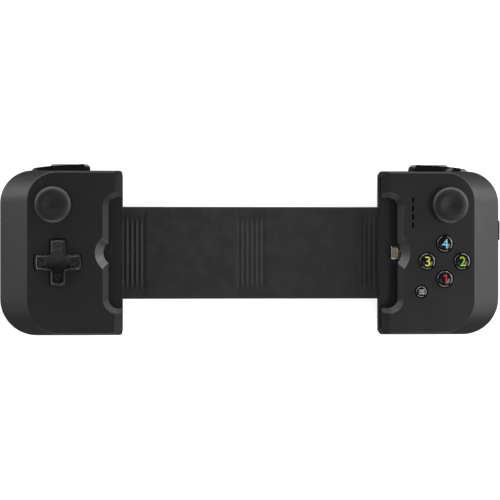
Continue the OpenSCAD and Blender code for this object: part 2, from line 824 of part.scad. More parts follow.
module trigger_body() {
    difference() {
        union() {
            intersection() {
                translate([0, 0, trigger_z]) linear_extrude(trigger_depth)
                    plate2d(inner_x + trigger_in, inner_x + trigger_out, T - 3.1, T + trigger_rise,
                        [0.4, 0.4, 2, 1.4]);
                translate([inner_x, T, 0]) rotate([90, 0, 90]) linear_extrude(control_w) polygon([
                    [-6, trigger_z], [-0.6, trigger_z], [trigger_rise - 1.6, trigger_z + 2.2],
                    [trigger_rise, trigger_z + 4.4], [trigger_rise, F], [-6, F]
                ]);
            }
            translate([0, 0, trigger_z + 1.2]) linear_extrude(trigger_depth - 1.2)
                translate([inner_x + trigger_in + 0.4, T - 5.2]) square([trigger_out - trigger_in - 6, 2.2]);
            translate([0, 0, 4.5]) linear_extrude(trigger_z1 - 4.5) {
                translate([trigger_px, trigger_py]) circle(hub_r);
                translate([trigger_px, T]) polygon([
                    [-7.5, -3], [-7.5, -5.2], [-1.7, -7.5], [0, -6], [0, -3.8], [-1.2, -3]
                ]);
            }
        }
        translate([trigger_px, trigger_py, 0]) cylinder(h = F, r = shoulder_pin_r + run_fit);
    }
}

module left_trigger() {
    color("#161617") mirror([1, 0, 0]) trigger_body();
}

module right_trigger() {
    color("#161617") trigger_body();
}

module trigger_pin_body() {
    translate([trigger_px, trigger_py, 1.2]) cylinder(h = trigger_z1 - 1.3, r = shoulder_pin_r);
}

module left_trigger_pin() {
    color("#b4b6b8") mirror([1, 0, 0]) trigger_pin_body();
}

module right_trigger_pin() {
    color("#b4b6b8") trigger_pin_body();
}

module trigger_spring_body() {
    translate([inner_x + spring_off, T - shoulder_board_in + board_t + 0.05, spring_z]) rotate([-90, 0, 0])
        linear_extrude(spring_len, twist = -1440, slices = 56, $fn = 8)
            translate([1.3, 0]) circle(0.32, $fn = 8);
}

module left_trigger_spring() {
    color("#c8cacc") mirror([1, 0, 0]) trigger_spring_body();
}

module right_trigger_spring() {
    color("#c8cacc") trigger_spring_body();
}

module shoulder_board_body() {
    face = T - shoulder_board_in + board_t;
    translate([inner_x + 1.5, face - board_t, wall])
        cube([shoulder_board_len, board_t, split_z - wall - 0.6]);
    translate([inner_x + 4, face, bumper_z0 + 0.4]) cube([switch_len, switch_depth, switch_h]);
    translate([inner_x + 4 + switch_len / 2, face + switch_depth, bumper_z0 + 0.4 + switch_h / 2])
        rotate([-90, 0, 0]) cylinder(h = 0.8, r = 1.3);
    translate([inner_x + 4, face, trigger_z + 2]) cube([5, 1.1, 3.6]);
}

module left_shoulder_board() {
    color("#1f4d33") mirror([1, 0, 0]) shoulder_board_body();
}

module right_shoulder_board() {
    color("#1f4d33") shoulder_board_body();
}

// Strap in four rigid lengths with a rounded end at each hinge line
module strap_span2d(x0, x1) {
    translate([x0, strap_z]) square([x1 - x0, strap_t]);
    translate([x0, hinge_z]) circle(strap_t / 2);
    translate([x1, hinge_z]) circle(strap_t / 2);
}

module along_y(w) {
    translate([0, w / 2, 0]) rotate([90, 0, 0]) linear_extrude(w) children();
}

module left_strap_span() {
    color("#1e1e20") along_y(strap_w) strap_span2d(-hinge_x, 0);
}

module right_strap_span() {
    color("#1e1e20") along_y(strap_w) difference() {
        strap_span2d(0, hinge_x);
        translate([0, hinge_z]) circle(strap_t / 2 + strap_relief);
    }
}

module strap_end_body() {
    along_y(strap_w) difference() {
        union() {
            translate([hinge_x, strap_z]) square([strap_end_x - hinge_x, strap_t]);
            translate([strap_end_x - 3, strap_z - 1.6]) square([3, strap_t + 1.6]);
        }
        translate([hinge_x, hinge_z]) circle(strap_t / 2 + strap_relief);
    }
}

module left_strap_end() {
    color("#1e1e20") mirror([1, 0, 0]) strap_end_body();
}

module right_strap_end() {
    color("#1e1e20") strap_end_body();
}

module strap_clamp_body() {
    difference() {
        translate([clamp_x0, -clamp_y - 2.6, clamp_z - clamp_t])
            cube([clamp_x1 - clamp_x0, 2 * clamp_y + 5.2, clamp_t]);
        for (s = [-1, 1]) {
            translate([clamp_x, s * clamp_y, clamp_z - 3]) cylinder(h = 5, r = 1.1);
        }
    }
}

module left_strap_clamp() {
    color("#7d8084") mirror([1, 0, 0]) strap_clamp_body();
}

module right_strap_clamp() {
    color("#7d8084") strap_clamp_body();
}

module clamp_screws_body() {
    for (s = [-1, 1]) {
        translate([clamp_x, s * clamp_y, clamp_z]) {
            translate([0, 0, -clamp_t - 1.1]) cylinder(h = 1.1, r = 1.7);
            translate([0, 0, -clamp_t - 0.1]) cylinder(h = clamp_t + 2.2, r = 0.9);
        }
    }
}

module left_clamp_screws() {
    color("#a8abae") mirror([1, 0, 0]) clamp_screws_body();
}

module right_clamp_screws() {
    color("#a8abae") clamp_screws_body();
}

module ribbon_body() {
    translate([strap_end_x, -7, hinge_z - 0.15]) cube([inner_x + 5.6 - strap_end_x, 14, 0.3]);
}

module left_ribbon() {
    color("#b8862c") mirror([1, 0, 0]) ribbon_body();
}

module right_ribbon() {
    color("#b8862c") ribbon_body();
}

// Assembly screws from the back
module screws_body() {
    for (b = bosses) {
        translate([b[0], b[1], screw_seat]) difference() {
            union() {
                translate([0, 0, -1.4]) cylinder(h = 1.4, r = 1.9);
                translate([0, 0, -0.1]) cylinder(h = seat_z - screw_seat + 6, r = screw_r);
            }
            translate([-1.2, -0.2, -1.6]) cube([2.4, 0.4, 0.9]);
            translate([-0.2, -1.2, -1.6]) cube([0.4, 2.4, 0.9]);
        }
    }
}

module left_screws() {
    color("#55585b") mirror([1, 0, 0]) screws_body();
}

module right_screws() {
    color("#55585b") screws_body();
}

translate(shift) left_front_shell();
translate(shift) left_rear_shell();
translate(shift) left_bay_pad();
translate(shift) left_circuit_board();
translate(shift) left_stick_base();
translate(shift) left_stick_yoke();
translate(shift) left_stick_shaft();
translate(shift) left_stick_cap();
translate(shift) dpad();
translate(shift) dpad_rocker();
translate(shift) dpad_membrane();
translate(shift) battery();
translate(shift) left_shoulder_board();
translate(shift) left_bumper();
translate(shift) left_bumper_pin();
translate(shift) left_trigger();
translate(shift) left_trigger_pin();
translate(shift) left_trigger_spring();
translate(shift) left_screws();
translate(shift) left_strap_end();
translate(shift) left_strap_clamp();
translate(shift) left_clamp_screws();
translate(shift) left_ribbon();
translate(shift) left_strap_span();
translate(shift) right_strap_span();
translate(shift) right_strap_end();
translate(shift) right_strap_clamp();
translate(shift) right_clamp_screws();
translate(shift) right_ribbon();
translate(shift) right_front_shell();
translate(shift) right_rear_shell();
translate(shift) right_bay_pad();
translate(shift) right_circuit_board();
translate(shift) right_stick_base();
translate(shift) right_stick_yoke();
translate(shift) right_stick_shaft();
translate(shift) right_stick_cap();
translate(shift) north_button();
translate(shift) east_button();
translate(shift) south_button();
translate(shift) west_button();
translate(shift) menu_button();
translate(shift) button_membrane();
translate(shift) light_guide();
translate(shift) charge_port();
translate(shift) port_bezel();
translate(shift) headphone_jack();
translate(shift) device_plug();
translate(shift) plug_carrier();
translate(shift) right_shoulder_board();
translate(shift) right_bumper();
translate(shift) right_bumper_pin();
translate(shift) right_trigger();
translate(shift) right_trigger_pin();
translate(shift) right_trigger_spring();
translate(shift) right_screws();
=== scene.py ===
import math
import bmesh
import bpy
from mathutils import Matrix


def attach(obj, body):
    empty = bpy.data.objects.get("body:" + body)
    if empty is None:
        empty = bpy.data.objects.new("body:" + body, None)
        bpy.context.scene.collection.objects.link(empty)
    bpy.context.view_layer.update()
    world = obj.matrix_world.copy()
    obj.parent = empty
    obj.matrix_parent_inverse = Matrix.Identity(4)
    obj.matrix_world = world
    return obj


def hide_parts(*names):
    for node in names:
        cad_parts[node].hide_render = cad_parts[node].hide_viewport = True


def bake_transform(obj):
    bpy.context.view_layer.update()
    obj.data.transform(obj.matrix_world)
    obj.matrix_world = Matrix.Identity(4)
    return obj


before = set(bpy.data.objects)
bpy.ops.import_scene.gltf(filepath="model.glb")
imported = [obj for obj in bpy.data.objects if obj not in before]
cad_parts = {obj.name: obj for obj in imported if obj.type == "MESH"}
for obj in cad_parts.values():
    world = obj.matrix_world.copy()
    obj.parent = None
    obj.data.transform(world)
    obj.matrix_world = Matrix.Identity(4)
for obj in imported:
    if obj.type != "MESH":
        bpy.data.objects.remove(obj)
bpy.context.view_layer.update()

# Sizes and places are in millimetres, drawn for the right pod and mirrored for the left
MM = 0.001
# Step from the drawing's zero to the frame's
SHIFT = (-0.35, -1.875, 0)
# How far a cutter reaches past a surface
PAST = 1
# The four level directions
WAYS = ((1, 0), (-1, 0), (0, 1), (0, -1))

# Pod form
HALF = 42.8
SPLIT = 15
FACE = 29
WALL = 2
UNDER = FACE - WALL
FACE_OUT = 115.4
SIDE_OUT = 130.3
SIDE_WALL = 3.04
DRAFT = 1.2
WIDE_R = 17
FACE_R = 15
LOW_ROUND = 2
MOUTH_R = 1.5
BACK_MOUTH_R = 2.5
FACE_BREAK = 0.7
BACK_R = 9
SHELL_EDGE = 0.3

# Device bay, and the cut-out and notch of its lip
MOUTH = 67
PAD = 79.3
PAD_T = 0.8
WALL_IN = 81.7
BAY_HALF = 39.3
BAY_TOP = 25
BAY_FLOOR = 17.4
FLOOR_UNDER = 15.8
CUT_HALF = 28.5
CUT_R = 5
CUT_PAST = 0.5
CUT_FLARE = (-0.36, 3.26)
NOTCH_FLARE = (-0.5, 4.7)
LIP_FLAT = 4.2
LIP_SLOPE = (-0.214, 0, 0.977)

# Screw bosses and pivot pins
BOSSES = [(86.5, -34.5), (110, -32), (117.8, 1), (88.5, 13.4)]
BOSS_SEAT = 14.8
BOSS_R = 3.4
SPIGOT_R = 2.2
HEAD_R = 2.2
SHANK_R = 1.2
THREAD_R = 1.02
BUMPER_PIN = (112.6, 38.2)
TRIGGER_PIN = (106.2, 36.8)
HUB_R = 2.4
HUB_BORE_R = 1.05

# Sockets and plug
JACK = (99.7, 18.7)
JACK_R = 2.95
PORT = (11.8, 13.35)
PLUG_Z = 21.2

# Thumb sticks
STICK = (101.8, 24.5)
STICK_HOLE_R = 8.5
CAP_UNDER = FACE + 3.5
CAP_TOP = FACE + 6.5
CAP_R = 9.4
CAP_FOOT = 0.7
CAP_CROWN = (4, 2.3)
SHAFT_R = 2.02
SHAFT_DEEP = 1.3
DIMPLE = ((5.1, 0.03), (4.8, 0.11), (4.4, 0.2), (3.6, 0.35), (2.4, 0.58), (1.2, 0.8), (0.5, 0.88), (0, 0.9))

# Direction cross
CLUSTER = 99.4
DPAD_Y = -4.8
DPAD_ARM = 3.85
DPAD_KNEE = 7.6
DPAD_END = 11.95
DPAD_BOW = 0.75
DPAD_SUNK = 3.6
DPAD_RISE = 1.5
DPAD_RIM = ((0.3, 0), (0.12, 0.06), (0.26, 0.32), (0.12, 0.04))
DPAD_DISH = ((9, 0.1), (7.6, 0.14), (4.2, 0.16), (3, 0.1))
SKIRT_R = 12.75
SKIRT_LOW = FACE - 4.6
SKIRT_TOP = FACE - 3.4
ARROW_OUT = 7.6
ARROW_R = 2.1
ARROW_LINE = 0.2
ARROW_RISE = 0.16
HOLLOW_R = 13.6
HOLLOW_DEEP = 0.35

# Buttons and indicator slots
BUTTON_Y = -4.4
PITCH = 9.1
BUTTON_PLACES = {
    "north_button": (CLUSTER, BUTTON_Y + PITCH),
    "east_button": (CLUSTER + PITCH, BUTTON_Y),
    "south_button": (CLUSTER, BUTTON_Y - PITCH),
    "west_button": (CLUSTER - PITCH, BUTTON_Y),
}
FIGURES = {"north_button": "4", "east_button": "2", "south_button": "1", "west_button": "3"}
BUTTON_R = 4.2
BUTTON_GAP = 0.5
BUTTON_TOP = FACE + 1.8
DOME_FOOT = FACE + 0.4
RIM_TOP = FACE + 0.35
STEM_FOOT = FACE - 9
STEM_SHARE = 0.55
FLANGE_LOW = FACE - 3.5
FLANGE_TOP = FACE - 2.3
FLANGE_W = 0.7
MENU = (87.2, -20.1)
MENU_R = 2.95
MENU_BAR = (2.8, 0.4)
MENU_BAR_ROWS = (-0.95, 0, 0.95)
FIGURE_SIZE = 7
SIGN_DEEP = 3
SIGN_PROUD = 0.03
LED = (83, 20.7)
LED_PITCH = 4.33
LED_SIZE = (1.1, 2.85)
LED_R = 0.5

# Bumpers and triggers
BUMPER_OPENING = (WALL_IN + 2.6, WALL_IN + 33.2, HALF - 3.2, HALF + 5, 9.2, SPLIT + 2)
TRIGGER_OPENING = (WALL_IN + 1.3, WALL_IN + 23.9, HALF - 6.4, HALF + 6, -PAST, 8)
BUMPER_LOW = 9.5
BUMPER_TOP = 14.7
BUMPER_EDGE = ((32.8, 0.3), (31.4, 1.52), (23.1, 2.35), (5.6, 3.45), (3, 0.1))
TRIGGER_LOW = 1.4
TRIGGER_TOP = 7.7
TRIGGER_OUT = HALF + 3.75

# Strap
STRAP_HALF = 24
STRAP_LOW = 13
STRAP_TOP = 15.6
STRAP_SLOT = STRAP_HALF + 0.2
STRAP_END = 79.8
STRAP_LAP = 30
STRAP_GRID = 1.25
HINGE = 61
GROOVE_REACH = 7
GROOVE_HALF = 20
GROOVE_DEEP = 0.45

# Plug contacts
CONTACTS = 8
CONTACT_PITCH = 0.68
CONTACT_HALF = 0.19
CONTACT_SPAN = (73.3, 76.9)
CONTACT_RISE = 0.75


# Bench tools
def put_down():
    if bpy.context.object and bpy.context.object.mode != "OBJECT":
        bpy.ops.object.mode_set(mode="OBJECT")
    bpy.ops.object.select_all(action="DESELECT")


def take(piece):
    put_down()
    piece.select_set(True)
    bpy.context.view_layer.objects.active = piece


def work_on(piece):
    take(piece)
    bpy.ops.object.mode_set(mode="EDIT")
    bpy.ops.mesh.select_mode(type="VERT")
    bpy.ops.mesh.select_all(action="SELECT")


def leave():
    bpy.ops.object.mode_set(mode="OBJECT")


def mark(kind, test):
    """Select the points, edges or faces in hand that pass a test on their place in millimetres."""
    bpy.ops.mesh.select_mode(type=kind)
    bpy.ops.mesh.select_all(action="DESELECT")
    mesh = bpy.context.object.data
    net = bmesh.from_edit_mesh(mesh)
    if kind == "VERT":
        chosen = [p for p in net.verts if test(p.co / MM)]
    elif kind == "EDGE":
        chosen = [e for e in net.edges if test(e.verts[0].co / MM, e.verts[1].co / MM)]
    else:
        chosen = [f for f in net.faces if test(f.calc_center_median() / MM, f.normal)]
    for part in chosen:
        part.select_set(True)
    net.select_flush_mode()
    bmesh.update_edit_mesh(mesh)


def near(a, b):
    return abs(a - b) < 0.002


def slide(x, y, z):
    bpy.ops.transform.translate(value=(x * MM, y * MM, z * MM))


def pull(x, y, z):
    """Extrude what is selected by a step."""
    bpy.ops.mesh.extrude_region_move(TRANSFORM_OT_translate={"value": (x * MM, y * MM, z * MM)})


def stretch(x, y, z):
    bpy.ops.transform.resize(value=(x, y, z), center_override=(0, 0, 0))


def turn_about(axis, angle):
    bpy.ops.transform.rotate(value=angle, orient_axis=axis, center_override=(0, 0, 0))


def clean():
    """Merge doubles and turn all faces outwards on the mesh in hand, then leave edit mode."""
    bpy.ops.mesh.select_mode(type="VERT")
    bpy.ops.mesh.select_all(action="SELECT")
    bpy.ops.mesh.remove_doubles(threshold=1e-6)
    bpy.ops.mesh.normals_make_consistent(inside=False)
    leave()


def add_step(piece, kind, **settings):
    """Put a modifier on a piece."""
    step = piece.modifiers.new(kind.lower(), kind)
    for key, value in settings.items():
        setattr(step, key, value)
    return step


def work_step(piece, kind, **settings):
    """Put a modifier on a piece and apply it."""
    take(piece)
    step = add_step(piece, kind, **settings)
    bpy.ops.object.modifier_apply(modifier=step.name)


def block(x0, x1, y0, y1, z0, z1):
    put_down()
    bpy.ops.mesh.primitive_cube_add(size=MM)
    piece = bpy.context.object
    work_on(piece)
    stretch(x1 - x0, y1 - y0, z1 - z0)
    slide((x0 + x1) / 2, (y0 + y1) / 2, (z0 + z1) / 2)
    leave()
    return piece


def rod(x, y, z0, z1, low_r, high_r=None, sides=64):
    """An upright round bar, tapered where it has a second radius."""
    top_r = low_r if high_r is None else high_r
    put_down()
    bpy.ops.mesh.primitive_cone_add(vertices=sides, radius1=low_r * MM, radius2=top_r * MM,
                                    depth=(z1 - z0) * MM)
    piece = bpy.context.object
    work_on(piece)
    slide(x, y, (z0 + z1) / 2)
    leave()
    return piece


def carve(piece, tool, how="DIFFERENCE", keep=False):
    work_step(piece, "BOOLEAN", operation=how, solver="EXACT", object=tool)
    if not keep:
        bpy.data.objects.remove(tool)
    return piece


def copy_of(piece):
    take(piece)
    bpy.ops.object.duplicate(linked=False)
    return bpy.context.object


def join(first, *others):
    take(first)
    for other in others:
        other.select_set(True)
    bpy.context.view_layer.objects.active = first
    bpy.ops.object.join()
    return first


def rounded_outline(z, x_in, x_out, half, outer_r, inner_r, more=0):
    """Add a flat outline to the mesh in hand, rounder at its low outer corner than at the high one."""
    bpy.ops.mesh.primitive_plane_add(size=MM, location=(0, 0, 0))
    stretch(x_out - x_in, 2 * half, 1)
    slide((x_in + x_out) / 2, 0, z)
    for y, radius in ((half, outer_r), (-half, outer_r + more)):
        mark("VERT", lambda p: near(p.z, z) and near(p.x, x_out) and near(p.y, y))
        bpy.ops.mesh.bevel(affect="VERTICES", offset=radius * MM, segments=18)
    mark("VERT", lambda p: near(p.z, z) and near(p.x, x_in))
    bpy.ops.mesh.bevel(affect="VERTICES", offset=inner_r * MM, segments=5)


def loft(levels):
    """Close a solid through a stack of outlines."""
    put_down()
    bpy.ops.mesh.primitive_plane_add(size=MM, location=(0, 0, 0))
    piece = bpy.context.object
    work_on(piece)
    bpy.ops.mesh.delete(type="VERT")
    for level in levels:
        rounded_outline(*level)
    bpy.ops.mesh.select_mode(type="FACE")
    bpy.ops.mesh.select_all(action="SELECT")
    bpy.ops.mesh.delete(type="ONLY_FACE")
    heights = [level[0] for level in levels]
    for low, high in zip(heights, heights[1:]):
        mark("EDGE", lambda a, b: near(a.z, b.z) and (near(a.z, low) or near(a.z, high)))
        bpy.ops.mesh.bridge_edge_loops()
    for end in (heights[0], heights[-1]):
        mark("EDGE", lambda a, b: near(a.z, end) and near(b.z, end))
        bpy.ops.mesh.edge_face_add()
    clean()
    return piece


def lathe(profile, x=0, y=0, steps=64):
    """Turn a profile of (radius, height) points about an upright axis."""
    put_down()
    bpy.ops.mesh.primitive_plane_add(size=MM, location=(0, 0, 0))
    piece = bpy.context.object
    work_on(piece)
    bpy.ops.mesh.merge(type="CENTER")
    slide(profile[0][0], 0, profile[0][1])
    for a, b in zip(profile, profile[1:]):
        bpy.ops.mesh.extrude_vertices_move(
            TRANSFORM_OT_translate={"value": ((b[0] - a[0]) * MM, 0, (b[1] - a[1]) * MM)})
    bpy.ops.mesh.select_all(action="SELECT")
    bpy.ops.mesh.spin(steps=steps, angle=2 * math.pi, center=(0, 0, 0), axis=(0, 0, 1))
    clean()
    work_on(piece)
    slide(x, y, 0)
    leave()
    return piece


def arc(r, z, across, up, start, end, count):
    """Points of a round or oval arc for a lathe profile, in degrees from level."""
    turns = [math.radians(start + (end - start) * i / count) for i in range(count + 1)]
    return [(r + across * math.cos(t), z + up * math.sin(t)) for t in turns]


def cross_prism(length, arm, outer_r, inner_r, z0, z1):
    """An upright cross with rounded corners and bowed arm ends."""
    put_down()
    bpy.ops.mesh.primitive_plane_add(size=arm * MM, location=(0, 0, 0))
    piece = bpy.context.object
    work_on(piece)
    half = arm / 2
    inside = half + 0.01
    reach = (length - arm) / 2
    for dx, dy in WAYS:
        mark("EDGE", lambda a, b: near(a.x * dx + a.y * dy, half) and near(b.x * dx + b.y * dy, half)
             and max(abs(a.x), abs(a.y), abs(b.x), abs(b.y)) < inside)
        pull(dx * reach, dy * reach, 0)
    mark("EDGE", lambda a, b: max(abs(a.x), abs(a.y), abs(b.x), abs(b.y)) < inside)
    bpy.ops.mesh.dissolve_edges(use_verts=False)
    mark("VERT", lambda p: max(abs(p.x), abs(p.y)) > inside)
    bpy.ops.mesh.bevel(affect="VERTICES", offset=outer_r * MM, segments=8)
    mark("VERT", lambda p: near(abs(p.x), half) and near(abs(p.y), half))
    bpy.ops.mesh.bevel(affect="VERTICES", offset=inner_r * MM, segments=6)
    bpy.ops.mesh.select_all(action="SELECT")
    slide(0, 0, z0)
    pull(0, 0, z1 - z0)
    clean()
    return carve(piece, rod(0, 0, z0 - PAST, z1 + PAST, length / 2, sides=128), "INTERSECT")


def smooth(piece, angle=38):
    take(piece)
    bpy.ops.object.shade_smooth_by_angle(angle=math.radians(angle))


def even(piece):
    """Shade a piece smooth with its large faces flat."""
    smooth(piece)
    work_step(piece, "WEIGHTED_NORMAL", weight=80, keep_sharp=True)


def soften(piece, width, segments=2, angle=32):
    """Dissolve flat seams and round the edges."""
    work_on(piece)
    bpy.ops.mesh.remove_doubles(threshold=2e-6)
    bpy.ops.mesh.select_all(action="SELECT")
    bpy.ops.mesh.dissolve_limited(angle_limit=math.radians(0.4))
    leave()
    work_step(piece, "BEVEL", width=width * MM, segments=segments, limit_method="ANGLE",
              angle_limit=math.radians(angle))
    even(piece)


def trim(piece, point, normal):
    """Cut away what lies beyond a plane and close the cut."""
    work_on(piece)
    size = math.hypot(*normal)
    bpy.ops.mesh.bisect(plane_co=[n * MM for n in point], plane_no=[n / size for n in normal],
                        use_fill=True, clear_outer=True)
    leave()


def round_edges(piece, width, segments, test):
    work_on(piece)
    mark("EDGE", test)
    bpy.ops.mesh.bevel(offset=width * MM, segments=segments)
    leave()


def to_left(piece):
    work_on(piece)
    stretch(-1, 1, 1)
    bpy.ops.mesh.flip_normals()
    leave()
    return piece


def fit(piece, name, body, finish, nodes=()):
    """Set a piece in the frame with its name, its body and its finish."""
    work_on(piece)
    slide(*SHIFT)
    put_down()
    piece.name = name
    piece.data.name = name
    piece.data.materials.clear()
    piece.data.materials.append(finish)
    if body:
        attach(piece, body)
    if nodes:
        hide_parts(*nodes)


# Finishes
class Field:
    """A value that varies over a surface and takes Python arithmetic."""

    def __init__(self, finish, socket):
        self.finish = finish
        self.socket = socket

    def work_out(self, how, first, second):
        return self.finish.node("ShaderNodeMath", {"operation": how}, {0: first, 1: second})

    def __add__(self, other):
        return self.work_out("ADD", self, other)

    __radd__ = __add__

    def __sub__(self, other):
        return self.work_out("SUBTRACT", self, other)

    def __rsub__(self, other):
        return self.work_out("SUBTRACT", other, self)

    def __mul__(self, other):
        return self.work_out("MULTIPLY", self, other)

    __rmul__ = __mul__


class Finish:
    """A procedural finish built on the piece's own Object coordinates."""

    def __init__(self, name, **constants):
        self.material = bpy.data.materials.new(name)
        self.material.use_nodes = True
        self.tree = self.material.node_tree
        self.tree.nodes.clear()
        out = self.tree.nodes.new("ShaderNodeOutputMaterial")
        self.shader = self.tree.nodes.new("ShaderNodeBsdfPrincipled")
        self.tree.links.new(self.shader.outputs[0], out.inputs["Surface"])
        self.place = self.node("ShaderNodeTexCoord", {}, {}, "Object")
        for socket, value in constants.items():
            self.shader.inputs[socket.replace("_", " ")].default_value = value

    def node(self, kind, settings, inputs, output=0):
        made = self.tree.nodes.new(kind)
        for key, value in settings.items():
            setattr(made, key, value)
        for key, value in inputs.items():
            self.feed(made.inputs[key], value)
        return Field(self, made.outputs[output])

    def feed(self, socket, value):
        if isinstance(value, Field):
            self.tree.links.new(value.socket, socket)
        else:
            socket.default_value = value

    def set(self, socket, value):
        self.feed(self.shader.inputs[socket], value)

    def grain(self, size, detail=3, rough=0.55):
        """Noise with features about size millimetres across."""
        return self.node("ShaderNodeTexNoise", {"noise_dimensions": "3D"},
                         {"Vector": self.place, "Scale": 1 / (size * MM),
                          "Detail": detail, "Roughness": rough})

    def cells(self, size):
        return self.node("ShaderNodeTexVoronoi", {"feature": "F1"},
                         {"Vector": self.place, "Scale": 1 / (size * MM)}, "Distance")

    def ramp(self, factor, low, high):
        """Map a value between two (from, to) pairs."""
        return self.node("ShaderNodeMapRange", {},
                         {"Value": factor, "From Min": low[0], "From Max": high[0],
                          "To Min": low[1], "To Max": high[1]})

    def blend_colours(self, factor, dark, light):
        return self.node("ShaderNodeMix", {"data_type": "RGBA"},
                         {"Factor": factor, 6: (*dark, 1), 7: (*light, 1)}, 2)

    def bump(self, height, depth):
        self.set("Normal", self.node("ShaderNodeBump", {},
                                     {"Height": height, "Distance": depth * MM, "Strength": 1}))


def grey(value):
    return (value, value, value * 1.03)


def shade(colour, share):
    return tuple(c * share for c in colour)


def moulded_plastic(name, dark, light, gloss, texture, depth):
    """Moulded plastic with a spark-eroded texture and a faint handling haze."""
    finish = Finish(name, IOR=1.5)
    haze = finish.grain(22, 2)
    pores = finish.grain(texture, 4, 0.6)
    finish.set("Base Color", finish.blend_colours(finish.ramp(haze, (0.35, 0), (0.65, 1)), dark, light))
    finish.set("Roughness", finish.ramp(haze, (0.3, gloss - 0.006), (0.7, gloss + 0.006)) + 0.05 * pores)
    finish.bump(pores, depth)
    return finish.material


def gloss_plastic(name, colour, gloss, coat=0.3, ior=1.5):
    """Polished plastic with faint flow lines and a thin lacquer."""
    finish = Finish(name, IOR=ior, Coat_Weight=coat, Coat_Roughness=0.08)
    flow = finish.grain(9, 2)
    dust = finish.grain(0.6, 2)
    finish.set("Base Color", finish.blend_colours(flow, colour, shade(colour, 1.35)))
    finish.set("Roughness", finish.ramp(flow, (0.3, gloss - 0.02), (0.7, gloss + 0.03)) + 0.03 * dust)
    finish.bump(flow, 0.012)
    return finish.material


def rubber(name, dark, light, gloss, pebble, depth):
    """Soft rubber with a fine pebble and a little dust in loose patches."""
    finish = Finish(name, IOR=1.45)
    pebbles = finish.cells(pebble)
    dust = finish.grain(6, 4)
    finish.set("Base Color", finish.blend_colours(finish.ramp(dust, (0.4, 0), (0.7, 1)), dark, light))
    finish.set("Roughness", finish.ramp(dust, (0.3, gloss - 0.05), (0.7, gloss + 0.05)) + 0.04 * pebbles)
    finish.bump(1 - pebbles, depth)
    return finish.material


def metal(name, colour, gloss, brush):
    """Machined or plated metal with fine brushing along one axis."""
    finish = Finish(name, Metallic=1.0)
    stretched = finish.node("ShaderNodeMapping", {}, {"Vector": finish.place, "Scale": brush})
    lines = finish.node("ShaderNodeTexNoise", {}, {"Vector": stretched, "Scale": 900, "Detail": 3})
    stain = finish.grain(3, 3)
    finish.set("Base Color", finish.blend_colours(stain, shade(colour, 0.82), colour))
    finish.set("Roughness", finish.ramp(lines, (0.3, gloss - 0.06), (0.7, gloss + 0.08)))
    finish.bump(lines, 0.01)
    return finish.material


def board_laminate(name, mask, copper):
    """Circuit board with solder mask over faint copper tracks."""
    finish = Finish(name, IOR=1.5)
    tracks = finish.node("ShaderNodeTexVoronoi", {"feature": "DISTANCE_TO_EDGE"},
                         {"Vector": finish.place, "Scale": 420}, "Distance")
    line = finish.ramp(tracks, (0.04, 1), (0.07, 0))
    finish.set("Base Color", finish.blend_colours(line * 0.5, mask, copper))
    finish.set("Roughness", finish.ramp(finish.grain(4, 3), (0.3, 0.3), (0.7, 0.42)))
    finish.bump(line, 0.03)
    return finish.material


def printed_ink(name, colour):
    """Ink under a clear dome, a little uneven."""
    finish = Finish(name, IOR=1.5, Coat_Weight=0.4, Coat_Roughness=0.05)
    patch = finish.grain(1.2, 3)
    finish.set("Base Color", finish.blend_colours(patch, shade(colour, 0.86), colour))
    finish.set("Roughness", finish.ramp(patch, (0.3, 0.22), (0.7, 0.34)))
    finish.bump(patch, 0.004)
    return finish.material


def floor_paper():
    """Pale paper that glows a little, so that it stays white."""
    finish = Finish("floor_paper", Specular_IOR_Level=0.2, Emission_Strength=0.65)
    fibres = finish.grain(40, 3)
    finish.set("Base Color", finish.blend_colours(fibres, (0.9, 0.9, 0.9), (0.93, 0.93, 0.93)))
    finish.set("Roughness", finish.ramp(fibres, (0.3, 0.7), (0.7, 0.8)))
    return finish.material


SHELL = moulded_plastic("shell_plastic", grey(0.0085), grey(0.0105), 0.38, 0.28, 0.012)
BACK = moulded_plastic("back_plastic", grey(0.009), grey(0.012), 0.42, 0.3, 0.016)
INNER = moulded_plastic("inner_black", grey(0.012), grey(0.016), 0.5, 0.35, 0.012)
NYLON = moulded_plastic("nylon_white", (0.62, 0.62, 0.57), (0.7, 0.69, 0.64), 0.45, 0.5, 0.01)
MODULE = moulded_plastic("module_grey", (0.24, 0.25, 0.26), (0.3, 0.31, 0.32), 0.42, 0.4, 0.01)
GLOSS = gloss_plastic("gloss_black", grey(0.0045), 0.09)
TRIGGER = gloss_plastic("trigger_plastic", grey(0.02), 0.3)
SMOKE = gloss_plastic("smoked_window", grey(0.001), 0.3, 0, 1.15)
STICK_RUBBER = rubber("stick_rubber", grey(0.0095), grey(0.0125), 0.45, 0.35, 0.012)
PAD_RUBBER = rubber("soft_black", grey(0.014), grey(0.02), 0.62, 0.5, 0.03)
STRAP_RUBBER = rubber("strap_rubber", grey(0.013), grey(0.019), 0.56, 0.7, 0.04)
MEMBRANE = rubber("membrane_rubber", (0.3, 0.3, 0.28), (0.36, 0.36, 0.33), 0.55, 0.6, 0.02)
STEEL = metal("steel", (0.6, 0.6, 0.62), 0.3, (1, 1, 0.08))
DARK_STEEL = metal("dark_steel", (0.2, 0.2, 0.21), 0.34, (1, 1, 0.08))
PLUG_METAL = metal("plug_metal", (0.72, 0.72, 0.74), 0.24, (0.08, 1, 1))
GOLD = metal("contact_gold", (0.83, 0.6, 0.24), 0.22, (0.1, 1, 1))
FOIL = metal("battery_foil", (0.55, 0.56, 0.58), 0.36, (1, 0.3, 1))
BOARD = board_laminate("board_green", (0.014, 0.075, 0.035), (0.05, 0.16, 0.07))
RIBBON = board_laminate("ribbon_amber", (0.4, 0.2, 0.04), (0.55, 0.3, 0.08))
